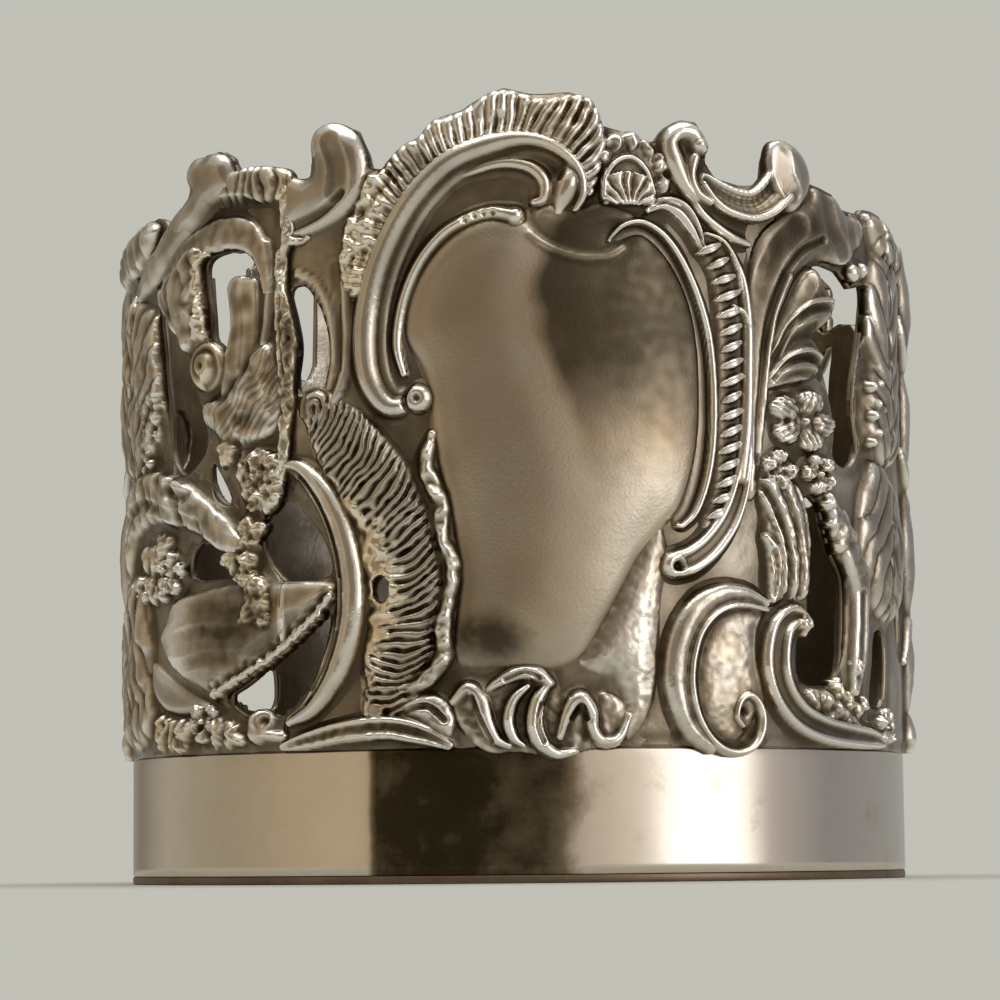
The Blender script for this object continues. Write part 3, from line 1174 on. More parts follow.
def blossomAt(place, radius, crown, turn, stretch):
    d = blossoms

    def draw(sheet):
        du, dh = (sheet["u"] - place[0] * arc) / stretch, sheet["h"] - place[1]
        far, everywhere = np.hypot(du, dh), np.arange(len(du))
        for k in range(d["petals"]):
            lean = turn + 2 * math.pi * k / d["petals"]
            lean += d["lean"] * noise.noise((k, place[0], d["leanSeed"]))
            size = radius * (1 + d["uneven"] * noise.noise((k, place[1], d["unevenSeed"])))
            along = (du * math.sin(lean) + dh * math.cos(lean)) / size
            across = (du * math.cos(lean) - dh * math.sin(lean)) / size
            wide = d["petalWide"][0] + d["petalWide"][1] * np.clip(along, 0, 1)
            off = np.hypot((along - d["petalAt"]) / d["petalHalf"], across / wide)
            rise = d["petalRise"][0] + d["petalRise"][1] * along
            lift = crown * rise * roundRib(np.clip(off, 0, 1)) ** d["petalCurve"]
            veins = flutes(across / d["veinStep"] + d["veinShift"], d["veinDepth"])
            lift += veins * np.clip(along * d["veinFrom"], 0, 1)
            add(sheet, everywhere, (1 - off) * d["petalEdge"] * size, lift)
        for wide, high in d["cores"]:
            ball(sheet, place, wide * radius, high * crown)
        disc, high = d["disc"][0] * radius, d["disc"][1] * crown
        add(sheet, everywhere, disc - far, high * roundRib(np.clip(far / disc, 0, 1)))
        depth, size, seed = d["rough"]
        roughen(sheet, (depth, size, seed + turn))
        if radius < d["small"]:  # the small ones are badly cast
            size, depth, seed = d["crumple"]
            sheet["lift"] += crumple(sheet, size, depth, seed + turn)
    a, h = place
    half = radius * d["spare"]
    return draw, (a - half * stretch / arc, a + half * stretch / arc, h - half, h + half)


mount("blossoms", [blossomAt(*spot) for spot in blossoms["places"]], pitch=0.1)

drooping = {
    "leaf": [(35.6, 28.6), (38.4, 29.6), (41.4, 29.4), (44.2, 28), (45.6, 25), (45.4, 22), (44.4, 20.4),
             (40.6, 20.3), (37.2, 20.1), (36.4, 23), (36.2, 26)],
    "curl": [(36.6, 24.8, 0.35, 0.8), (37.7, 23.8, 0.65, 1.1), (38, 22, 0.65, 1.1), (37.6, 20.3, 0.4, 0.8)],
    "folds": [
        ([(36.4, 28.4), (38.6, 26.4), (40.2, 23.6), (40.4, 20.6)], 0.5, 0.4),
        ([(36.2, 28), (37.8, 26.2), (39.2, 23.6), (39.6, 21)], 0.3, -0.3),
        ([(39, 29), (41.4, 26.4), (42.8, 23.6), (42.8, 20.8)], 0.4, 0.28),
        ([(42, 28.8), (43.8, 26.4), (44.8, 23.4)], 0.35, 0.2),
        ([(37.4, 23.8), (37.8, 22.2), (37.5, 20.6)], 0.25, 0.3),
    ],
    "leafRise": (0.85, 1.6), "streaks": [(1, 1.8, 55), (0.5, 0.7, 56)], "streakDepth": 0.16,
    "streakLevel": 0.3,
    "tulip": [
        (-49.6, 35.4), (-45.1, 35.8), (-42.4, 37.1), (-39.8, 38.4), (-36.8, 39.4), (-35, 38.1), (-34, 36.1),
        (-34, 33.7), (-36.3, 32.3), (-40.5, 31.9), (-44.5, 32.2), (-46.6, 33.1), (-48.8, 33.7),
    ],
    "tulipRise": (0.85, 1.5), "lean": (0.8, -0.6), "strand": 0.55, "strandDepth": 0.13,
    "wander": (0.9, 2, 50), "tulipCrumple": (2.4, 0.35, 51), "mottle": (0.15, 1.2, 54),
    "postRise": (0.7, 1.4), "postCut": (0.7, 0.16), "burrRise": (0.8, 1.2), "swell": 1.3,
    "coarse": (33, -2, 0.05), "coarseCrumple": (0.9, 0.42, 52), "coarseGrain": (0.06, 0.4, 53),
    "gilt": (1.6, 0.85),
    "post": [(-44.3, 43.8), (-43, 44.6), (-40, 44.5), (-38.2, 43.8), (-38.4, 40), (-39.4, 37.6),
             (-42.6, 35.8), (-45.6, 35.8), (-45.2, 38.2), (-43.8, 40.6), (-43.9, 42.4)],
    "postFolds": [[(-42.6, 43.8), (-41.8, 41), (-42.4, 38)], [(-40, 44), (-39.8, 41), (-40.6, 38)]],
    "burr": [(-41.4, 31.6), (-37.6, 31.8), (-34, 30.6), (-34, 28), (-36.3, 26.8), (-39.6, 27), (-41.6, 29)],
    "lumps": [((-44, 31.6), 0.75, 0.9), ((-41.9, 24), 1.15, 1.0), ((-39.6, 25.6), 0.9, 0.9),
              ((-40.4, 22.6), 0.8, 0.9), ((-38.4, 30.4), 0.6, 1.0), ((-36.2, 30.6), 0.55, 1.0),
              ((-35.6, 28.8), 0.6, 0.95), ((-38.2, 28.2), 0.65, 1.05)],
}


def drawDrooping(sheet):
    d = drooping
    dome(sheet, d["leaf"], *d["leafRise"])
    strap(sheet, d["curl"])
    grooves(sheet, d["folds"])
    streaks = sum(np.abs(waver(sheet, *row)) for row in d["streaks"])
    sheet["lift"] += d["streakDepth"] * (d["streakLevel"] - streaks)


def strands(sheet, look):  # fine folds side by side
    slant = (look["lean"][0] * sheet["u"] + look["lean"][1] * sheet["h"]) / look["strand"]
    return flutes(slant + waver(sheet, *look["wander"]), look["strandDepth"])


def drawSeamLeaves(sheet):
    d = drooping
    dome(sheet, turned(d["tulip"]), *d["tulipRise"])
    sheet["lift"] += strands(sheet, d) + crumple(sheet, *d["tulipCrumple"])
    mottle(sheet, *d["mottle"])
    dome(sheet, turned(d["post"]), *d["postRise"])
    scores(sheet, turnedLines(d["postFolds"]), *d["postCut"])
    dome(sheet, turned(d["burr"]), *d["burrRise"])
    lumps = turnedSpots(d["lumps"])
    nuggets(sheet, lumps, d["swell"])
    rough = crumple(sheet, *d["coarseCrumple"]) + waver(sheet, *d["coarseGrain"])
    sheet["lift"] += eased(sheet["h"], *d["coarse"]) * rough
    gild(sheet, lumps, *d["gilt"])


mount("drooping_leaves",
      [(drawDrooping, (34.5, 46.6, 19.4, 30.4)), (drawSeamLeaves, (129.6, 146.2, 21.4, 45.4))], pitch=0.11)

kidney = {
    "span": (18.6, 38, 8.4, 22),
    "outer": [(36.6, 20, 0.4, 0.6), (33, 20.7, 0.6, 0.8), (29, 20.6, 0.8, 0.95), (25.4, 19.6, 1.0, 1.05),
              (22.9, 17.6, 1.05, 1.1), (21.9, 15, 1.05, 1.1), (22.3, 12.8, 0.95, 1.05),
              (24, 10.8, 0.8, 0.95), (27, 9.6, 0.6, 0.85)],
    "lip": [(36.4, 19.5, 0.25, 0.8), (32, 19.8, 0.3, 0.95), (28.4, 19.3, 0.32, 1.0), (25.8, 18, 0.34, 1.05),
            (24.4, 16.2, 0.36, 1.1), (24, 14.2, 0.36, 1.1), (24.6, 12.3, 0.36, 1.1), (26, 10.7, 0.36, 1.1),
            (28.4, 9.5, 0.38, 1.1), (31.2, 9.2, 0.4, 1.1), (33.7, 9.7, 0.4, 1.1), (35.1, 11, 0.42, 1.1),
            (34.8, 12.5, 0.42, 1.05), (33.2, 13.3, 0.4, 1.0), (31.6, 12.9, 0.36, 0.95),
            (31, 11.8, 0.32, 0.9), (32, 11.1, 0.3, 0.85)],
    "field": [(36, 19.4), (31, 19.4), (27.4, 18.2), (25.2, 15.6), (25, 12.6), (27, 10.4), (31, 9.8),
              (35, 11.5), (36.6, 13), (35.6, 15.4), (35.2, 17.6)],
    "fieldRise": (0.62, 1.6), "rough": [(0.06, 2.6, 60), (0.015, 0.5, 61)], "lipRough": (0.03, 1.5, 66),
    "stains": [((30.6, 15.8), (5, 4), -0.04, 62)], "mottle": (0.08, 0.6, 63), "gilt": 0.2,
    "giltWave": (0.4, 2.2, 64), "giltMost": 0.6, "eye": (32.4, 12.1), "eyeCut": (0.3, 0.35),
}


def drawKidney(sheet):
    d = kidney
    dome(sheet, d["field"], *d["fieldRise"])
    stains(sheet, d["stains"])
    mottle(sheet, *d["mottle"])
    roughen(sheet, *d["rough"])
    gilt = np.clip(d["gilt"] + waver(sheet, *d["giltWave"]), 0, d["giltMost"])
    sheet["warm"] += gilt * (sheet["reach"] > 0)
    strap(sheet, d["outer"])
    strap(sheet, d["lip"])
    roughen(sheet, d["lipRough"])
    pit(sheet, d["eye"], *d["eyeCut"])


mount("kidney_scroll", [(drawKidney, kidney["span"])], pitch=0.11)

footScroll = {
    "span": (34.8, 67, 9, 21),
    "steps": [
        (dome, [(43.6, 13.4), (46, 14), (49.6, 13.6), (53, 12.6), (57, 11.2), (52, 11), (47, 11.8)], 0.75,
         0.8),  # lobe
        (nuggets, [((43.2, 18.5), 0.65, 0.95), ((51.8, 13.6), 0.6, 0.8), ((54, 13), 0.65, 0.8),
                   ((55.8, 15.7), 0.7, 0.9), ((56.4, 12.4), 0.6, 0.7), ((58.4, 12.8), 0.5, 0.6),
                   ((50.4, 14.2), 0.5, 0.7)], 1.1),  # knobs
        (dent, 1.0, 0.35, 65),  # crumple
        (gild, [((43.2, 18.5), 0.65, 0.95), ((51.8, 13.6), 0.6, 0.8), ((54, 13), 0.65, 0.8),
                ((55.8, 15.7), 0.7, 0.9), ((56.4, 12.4), 0.6, 0.7), ((58.4, 12.8), 0.5, 0.6),
                ((50.4, 14.2), 0.5, 0.7)], 1.4, 0.5),  # knobs
        (strap, [(44.8, 18.7, 0.5, 0.6), (42, 19.2, 0.9, 0.85), (39, 18.2, 1.15, 1.05),
                 (37.9, 15.8, 1.25, 1.15), (39, 13.6, 1.2, 1.15), (42.2, 11.9, 1.15, 1.1),
                 (47, 11, 1.1, 1.0), (53, 10.6, 1.0, 0.9), (59.6, 10.4, 0.85, 0.75),
                 (65.4, 10.2, 0.5, 0.5)], doubleRib),  # body
    ],
}

mount("foot_scroll", [(footScroll["steps"], footScroll["span"])], pitch=0.11)

waves = {
    "span": (-10.2, 17, 8.4, 16),
    "steps": [
        (dome, [(-9, 12.4), (-6.4, 13.6), (-3, 13.4), (0, 14.4), (3.4, 14.2), (6, 13.2), (9, 12.8),
                (12, 13.6), (15, 12.4), (14.2, 10.2), (10, 9.4), (5, 8.9), (0, 9.2), (-4, 9.2), (-7, 10.4)],
         0.4, 0.7),  # bed
        (roughen, (0.06, 0.6, 71)),
        (straps, [[(-8.6, 12.9, 0.4, 0.6), (-6.6, 13.8, 0.6, 0.85), (-5, 13, 0.7, 0.95),
                   (-4.2, 11.5, 0.7, 0.95), (-3, 10.2, 0.55, 0.85), (-1.2, 9.7, 0.35, 0.6)],
                  [(-4.4, 13.5, 0.3, 0.6), (-2.4, 14.2, 0.5, 0.85), (0, 14.8, 0.62, 1.0),
                   (2.6, 14.8, 0.62, 1.0), (4.3, 14.1, 0.45, 0.85)],
                  [(1.4, 13.9, 0.35, 0.8), (-0.4, 13, 0.5, 1.0), (-1.2, 11.6, 0.56, 1.05),
                   (-0.6, 10.3, 0.5, 0.9), (0.8, 9.7, 0.3, 0.6)],
                  [(4.1, 14, 0.4, 0.8), (2.7, 12.9, 0.62, 1.1), (2.2, 11.3, 0.72, 1.2), (3, 9.9, 0.7, 1.1),
                   (5.2, 9.1, 0.55, 0.95), (7.6, 9.3, 0.35, 0.65)],
                  [(5.6, 10.3, 0.4, 0.75), (6.8, 12.1, 0.6, 1.0), (8.4, 13, 0.72, 1.15),
                   (9.8, 12.1, 0.62, 1.1), (10.1, 10.8, 0.56, 1.0), (11.4, 10, 0.52, 0.95),
                   (13.6, 10.2, 0.46, 0.9), (15.2, 11.8, 0.3, 0.7)]]),  # curls
        (scores, [[(-6, 13.2), (-4.9, 11.6), (-3.4, 10)], [(3.2, 12.6), (2.7, 11.2), (3.5, 9.9)],
                  [(7.2, 11.6), (8.5, 12.5), (9.3, 11.6)], [(-1.6, 14.4), (1, 14.9), (3, 14.5)]], 0.2, 0.3),
        (roughen, (0.04, 0.9, 72)),
    ],
}

mount("wave_scrolls", [(waves["steps"], waves["span"])], pitch=0.1)

shellBand = {
    "span": (-31.5, -5.5, 11, 36.5),
    "spine": [
        (-28.6, 34.4, 1.5, 0.45), (-24.6, 32, 2.5, 0.7), (-20.6, 29, 3.0, 0.85), (-17.2, 25.8, 3.1, 0.9),
        (-15.6, 22, 3.05, 0.95), (-15.5, 18.4, 2.95, 0.9), (-16.6, 15, 2.6, 0.8), (-18.4, 12.4, 1.7, 0.6),
    ],
    "reach": 4.2, "steps": 10, "ribs": 39, "ribDepth": 0.62, "ribSlant": 1.5, "ribCurl": 0.9, "wander": 1.1,
    "wanderRate": (0.22, 1.1, 7), "fray": 0.2, "frayRate": (0.9, 3.5, 17), "shoulder": 0.72, "swell": 0.25,
    "ribEdge": 5, "ribUneven": (0.75, 0.5), "tarnish": 0.1,
    "margin": [(29, 0.0), (26.8, 0.3), (24.4, 0.45), (21, 0.5), (17.6, 0.3),
               (14, 0.0)],  # height, bare share
    "bareGain": 1.6, "bareFray": 0.5, "bareEdge": 4, "bareDrop": 0.12, "bareRub": 0.4, "bareGilt": 0.8,
    "bareCrumple": (1.6, 0.3, 83), "rimRough": (0.22, 0.8, 81), "rimReach": 0.9,
    "rim": [(-11.2, 32, 0.4, 0.7), (-12, 29.6, 0.65, 1.0), (-10.2, 27, 0.7, 1.0), (-9.9, 24.8, 0.55, 0.9),
            (-8.5, 22.5, 0.7, 1.05), (-9.2, 20, 0.6, 0.95), (-10, 18, 0.7, 1.0), (-9.8, 16.2, 0.7, 0.95),
            (-11.6, 14.8, 0.75, 1.0), (-14.2, 13.9, 0.6, 0.8)],
}


def fieldNoise(run, across, rate):
    return np.array([noise.noise((r * rate[0], t * rate[1], rate[2])) for r, t in zip(run, across)])


def drawShellBand(sheet):
    d = shellBand
    line = curve(d["spine"], d["steps"])
    near, dist, place, side = nearest(sheet, line, d["reach"])
    at = np.arange(len(line))
    width, crown = np.interp(place, at, line[:, 2]), np.interp(place, at, line[:, 3])
    across = np.clip(side * dist / width, -1, 1)
    length = lengthAlong(line)
    run = np.interp(place, at, length) / length[-1] * d["ribs"]
    wander, fray = fieldNoise(run, across, d["wanderRate"]), fieldNoise(run, across, d["frayRate"])
    phase = run + d["ribSlant"] * across + d["ribCurl"] * across**2
    phase += d["wander"] * wander + d["fray"] * fray
    body = crown * (d["shoulder"] + (1 - d["shoulder"]) * roundRib(across)) * flatRib(across)
    body += d["swell"] * wander
    bare = np.interp(-sheet["h"][near], [-h for h, _ in d["margin"]], [share for _, share in d["margin"]])
    ribbed = (across + 1 - d["bareGain"] * bare + d["bareFray"] * fray) * d["bareEdge"]
    ribbed = np.clip(ribbed, 0, 1)  # the ribs stop short of the left edge
    fade = np.clip((1 - np.abs(across)) * d["ribEdge"], 0, 1)
    fade = fade * (d["ribUneven"][0] + d["ribUneven"][1] * fray) * ribbed
    bare = 1 - ribbed
    add(sheet, near, width - dist, body + fade * flutes(phase, d["ribDepth"]) - d["bareDrop"] * bare)
    sheet["stain"][near] += d["tarnish"] * ribbed - d["bareRub"] * bare
    sheet["lift"][near] += bare * crumple(sheet, *d["bareCrumple"])[near]
    sheet["warm"][near] += d["bareGilt"] * bare
    strap(sheet, d["rim"])
    near, dist, _, _ = nearest(sheet, curve(d["rim"]), d["rimReach"])
    sheet["lift"][near] += waver(sheet, *d["rimRough"])[near] * (dist < d["rimReach"])
    eyelet(sheet)


mount("shell_band", [(drawShellBand, shellBand["span"])], pitch=0.11)

sideScroll = {
    "steps": [
        (strap, [(-33.4, 30.2, 0.4, 0.5), (-31, 29.9, 0.8, 0.75), (-28, 28.4, 1.1, 0.95),
                 (-25.2, 25.8, 1.25, 1.1), (-23.6, 23, 1.3, 1.2), (-23.2, 20, 1.3, 1.25),
                 (-24.2, 17.2, 1.3, 1.2), (-26.4, 14.6, 1.2, 1.1), (-29.4, 12.7, 0.9, 0.9),
                 (-32.8, 11.8, 0.5, 0.6)], rolledRib),  # band
        (scores, [[(-31, 29.4), (-28, 27.6), (-25.8, 25), (-24.6, 22)],
                  [(-25, 18), (-27, 14.9), (-30, 12.9)],
                  [(-31.4, 29), (-28.4, 26.9), (-26.4, 24.4), (-25.4, 21.6), (-25.6, 18.6), (-27, 16),
                   (-29.2, 14)]], 0.22, 0.28),
        (roughen, (0.04, 1.4, 87)),
    ],
    "ballSteps": [
        (ball, (142, 11.4), 1.35, 1.0),  # ball
        (pit, (143, 11.9), 0.5, 0.6),  # eye
        (strap, turned([(-37, 10.9, 0.6, 0.9), (-35.6, 10.7, 0.5, 0.7), (-34.2, 10.7, 0.4, 0.5)])),  # neck
        (roughen, (0.1, 0.9, 86)),
    ],
}

mount("side_scroll", [(sideScroll["steps"], (-34.2, -19.5, 10.8, 31.2)),
                      (sideScroll["ballSteps"], (138.6, 146.2, 9.6, 13.2))], pitch=0.11)

footLeaf = {
    "span": (-34.4, -6.5, 9, 14.4),
    "steps": [
        (dome,
         [(-16.4, 12.4), (-13, 13.5), (-10, 13.2), (-8.4, 11.9), (-8.8, 10.4), (-11, 10.6), (-13.6, 11.6)],
         0.75, 0.7),  # lobe
        (grooves, [([(-15.4, 12.3), (-12.2, 12.6), (-9.8, 11.6)], 0.3, 0.3)]),
        (strap, [(-34, 9.9, 0.3, 0.5), (-30, 10.3, 0.65, 0.75), (-24, 10.9, 0.85, 0.85),
                 (-18, 11.1, 0.95, 0.9), (-13, 10.6, 0.85, 0.85), (-9.4, 9.8, 0.4, 0.6)],
         doubleRib),  # blade
        (roughen, (0.05, 0.5, 91)),
    ],
}

mount("foot_leaf", [(footLeaf["steps"], footLeaf["span"])], pitch=0.11)

windowArch = {
    "span": (121.6, 146.2, 44, 53),
    "arch": [(-47.4, 50.7, 1.1, 0.6), (-42, 51.1, 1.4, 0.8), (-38, 51.1, 1.45, 0.8),
             (-34.2, 50.9, 1.3, 0.7)],
    "flutes": 1.75, "fluteDepth": 0.3, "wander": (0.5, 2, 93), "hollowCut": (0.8, 0.45),
    "rough": (0.07, 0.8, 95),
    "rim": [(-61.5, 45, 0.5, 0.4), (-57, 46.4, 0.8, 0.5), (-53.6, 47.2, 1.05, 0.55),
            (-47.2, 47.8, 1.3, 0.55), (-42.3, 47.8, 1.3, 0.55), (-38.5, 46.9, 1.2, 0.5),
            (-36.9, 45, 0.8, 0.45), (-36.6, 43, 0.4, 0.3)],
    "hollow": [(-55, 48.5), (-47.2, 49.7), (-42.3, 49.8), (-38.5, 49.2), (-36, 47.6)],
    "shade": [((-43, 49.6), (9, 1), 0.2, 91), ((-52, 48.8), (5, 1), 0.15, 92)],
}


def drawWindowArch(sheet):
    d = windowArch
    strap(sheet, turned(d["arch"]), flatRib)
    phase = (sheet["u"] / arc - beyond) / d["flutes"] + waver(sheet, *d["wander"])
    sheet["lift"] += flutes(phase, d["fluteDepth"])
    strap(sheet, turned(d["rim"]), flatRib)
    groove(sheet, turned(d["hollow"]), *d["hollowCut"])
    roughen(sheet, d["rough"])
    stains(sheet, turnedSpots(d["shade"]))


mount("window_arch", [(drawWindowArch, windowArch["span"])], pitch=0.12)

knobStem = {
    "steps": [
        (strap, turned([(-47.4, 51.6, 1.3, 1.0), (-50.4, 50.6, 1.45, 0.95), (-54, 49.2, 1.4, 0.9),
                        (-58.4, 47.7, 1.3, 0.85)])),  # stem
        (dome, turned([(-52.6, 51.6), (-53, 53), (-51.8, 53.9), (-49, 54), (-46.6, 54.1), (-44.2, 53.6),
                       (-43, 52.6), (-42.6, 51.4), (-45, 50.4), (-49, 50)]), 1.1, 1.3),  # knob
        (groove, turned([(-49.6, 54), (-49.2, 52.8), (-50, 51.4)]), 0.9, 0.14),  # crease
        (soften, 0.5, 1.0),
        (roughen, (0.1, 1.8, 97)),
    ],
    "backSteps": [
        (strap, turned([(-54, 49.2, 1.4, 0.9), (-58.4, 47.8, 1.4, 0.9), (-62, 46.7, 1.35, 0.9),
                        (-66, 45.8, 1.2, 0.85), (-70, 45, 0.8, 0.6)])),  # tail
        (roughen, (0.08, 1.6, 98)),
    ],
}

mount("knob_stem", [(knobStem["steps"], (121.2, 138.5, 46.4, 55))], pitch=0.12,
      backOnly=[(knobStem["backSteps"], (108.6, 127.6, 44, 51))])

leafBundle = {
    "span": (119.4, 136, 35.8, 48),
    "mass": [(-61.5, 43.8), (-58, 45.6), (-53.6, 46.9), (-50.6, 47.4), (-49, 46.4), (-49.4, 44.6),
             (-48.6, 43.2), (-48.4, 42), (-49, 40.7), (-50.4, 40), (-53, 39.3), (-56.4, 41.1)],
    "massRise": (1.05, 0.8), "lean": (0.93, 0.3), "strand": 1.5, "strandDepth": 0.14,
    "wander": (0.6, 2.2, 100), "crumple": (2.2, 0.35, 101), "mottle": (0.22, 1.8, 104), "swell": 1.1,
    "coarse": (-52, 2), "coarseCrumple": (0.9, 0.35, 102), "gilt": 0.5, "berry": (-48.5, 38.2),
    "berryRise": (1.95, 1.2), "curlAt": 1.15, "curlTurn": 0.12, "curlCut": (0.28, 0.28),
    "eyeCut": (0.35, 0.3),
    "lumps": [((-49.8, 43.2), 0.8, 0.9), ((-49.4, 42), 0.8, 0.95), ((-50.2, 41), 0.9, 0.95),
              ((-51.4, 40.4), 0.7, 0.9), ((-50.4, 46.4), 0.8, 0.85)],
}


def drawLeafBundle(sheet):
    d = leafBundle
    dome(sheet, turned(d["mass"]), *d["massRise"])
    sheet["lift"] += strands(sheet, d) + crumple(sheet, *d["crumple"])
    mottle(sheet, *d["mottle"])
    nuggets(sheet, turnedSpots(d["lumps"]), d["swell"])
    edge = eased(sheet["u"] / arc - beyond, *d["coarse"])
    sheet["lift"] += edge * crumple(sheet, *d["coarseCrumple"])
    sheet["warm"] += d["gilt"] * edge
    trimmed(sheet)
    spot = turned([d["berry"]])[0]
    ball(sheet, spot, *d["berryRise"])
    far, turn = polar(sheet, spot)
    width, depth = d["curlCut"]
    curl = np.abs(far - d["curlAt"] - d["curlTurn"] * turn) / width
    sheet["lift"] -= depth * np.exp(-(curl**2))
    pit(sheet, spot, *d["eyeCut"])


mount("leaf_bundle", [(drawLeafBundle, leafBundle["span"])], pitch=0.12)

dropLeaf = {
    "blade": [
        (-62, 18.6), (-57.6, 21), (-49.7, 21.7), (-41.9, 22), (-34, 21.9), (-29, 21.8), (-25.6, 21.5),
        (-25.8, 20.7), (-29.7, 18.7), (-34, 17), (-40.7, 15), (-46.8, 13.9), (-54.8, 15.2), (-60, 17),
    ],
    "petal": [(-40.6, 22.3), (-37.6, 22.5), (-36, 21.6), (-35, 19.8), (-35.2, 18.8), (-37.4, 18.4),
              (-39.4, 18.7), (-41.8, 19), (-40.2, 20.4)],
    "low": [(-65, 16.8), (-60, 15.8), (-54.8, 14.7), (-48, 13.1), (-53, 12.5), (-60, 12.9), (-64, 14.4)],
    "chain": [(-46.8, 13.9), (-43.6, 14.6), (-40.7, 15.2), (-37.4, 16), (-34.1, 17), (-31.8, 17.9),
              (-29.7, 18.7), (-27.6, 19.7), (-26, 20.6)],
    "streaks": [
        [(-60, 19.6), (-52, 20.4), (-42, 20.2)], [(-60.4, 17.8), (-50, 18.6), (-40, 18.2)],
        [(-56, 16), (-48, 16.6), (-40, 16.6), (-33, 18.6)], [(-34, 20.6), (-30, 20.6), (-27, 20.9)],
        [(-33.6, 19), (-30, 19.6), (-27, 20.4)],
    ],
    "lowRise": (0.5, 0.8), "bladeRise": (0.8, 2.0), "streakCut": (0.6, 0.06), "rough": (0.1, 3, 111),
    "worn": (-54, 6), "wornRough": (0.05, 1.1, 112),  # smooth at its left end, rough further on
    "petalRise": (1.05, 0.6), "petalCrumple": (0.9, 0.35, 116), "petalGilt": 0.7, "bead": 0.42,
    "beadCrown": 0.85, "beadSizes": (0.5, 0.9, 5, 1), "beadSteps": (0.3, 1.3, 2, 0), "beadTimes": 5,
    "chainRough": (0.14, 0.7, 113), "chainReach": 0.9, "joint": -34, "lap": 0.35,
    "stains": [((-57, 18.6), (5, 3.4), -0.34, 114), ((-43, 18.8), (8, 2.6), 0.2, 115)],
}


def drawDropLeaf(sheet, shift):
    d = dropLeaf
    dome(sheet, turned(d["low"], shift), *d["lowRise"])
    dome(sheet, turned(d["blade"], shift), *d["bladeRise"])
    scores(sheet, turnedLines(d["streaks"], shift), *d["streakCut"])
    worn = eased(sheet["u"] / arc - shift, *d["worn"])
    sheet["lift"] += waver(sheet, *d["rough"]) + worn * waver(sheet, *d["wornRough"])
    before = sheet["lift"].copy()
    dome(sheet, turned(d["petal"], shift), *d["petalRise"])
    flap = sheet["lift"] > before
    sheet["lift"] += flap * crumple(sheet, *d["petalCrumple"])
    sheet["warm"] += d["petalGilt"] * flap
    line = curve(turned(d["chain"], shift), d["beadTimes"])
    for k, (u, h) in enumerate(line[:, :2]):
        size = d["bead"] * (1 + jitter(k, *d["beadSizes"]))
        ball(sheet, (u / arc, h + jitter(k, *d["beadSteps"])), size, d["beadCrown"])
    near, dist, _, _ = nearest(sheet, line, d["chainReach"])
    sheet["lift"][near] += waver(sheet, *d["chainRough"])[near] * (dist < d["chainReach"])
    past = sheet["u"] - (shift + d["joint"]) * arc
    end = d["lap"] - past if shift else past  # the two ends lap at the joint
    sheet["reach"] = np.minimum(sheet["reach"], end)
    stains(sheet, turnedSpots(d["stains"], shift))


mount("drop_leaf", [(lambda sheet: drawDropLeaf(sheet, beyond), (114, 147, 12, 22.8)),
                    (lambda sheet: drawDropLeaf(sheet, 0), (-34.4, -25, 16, 22.4))])

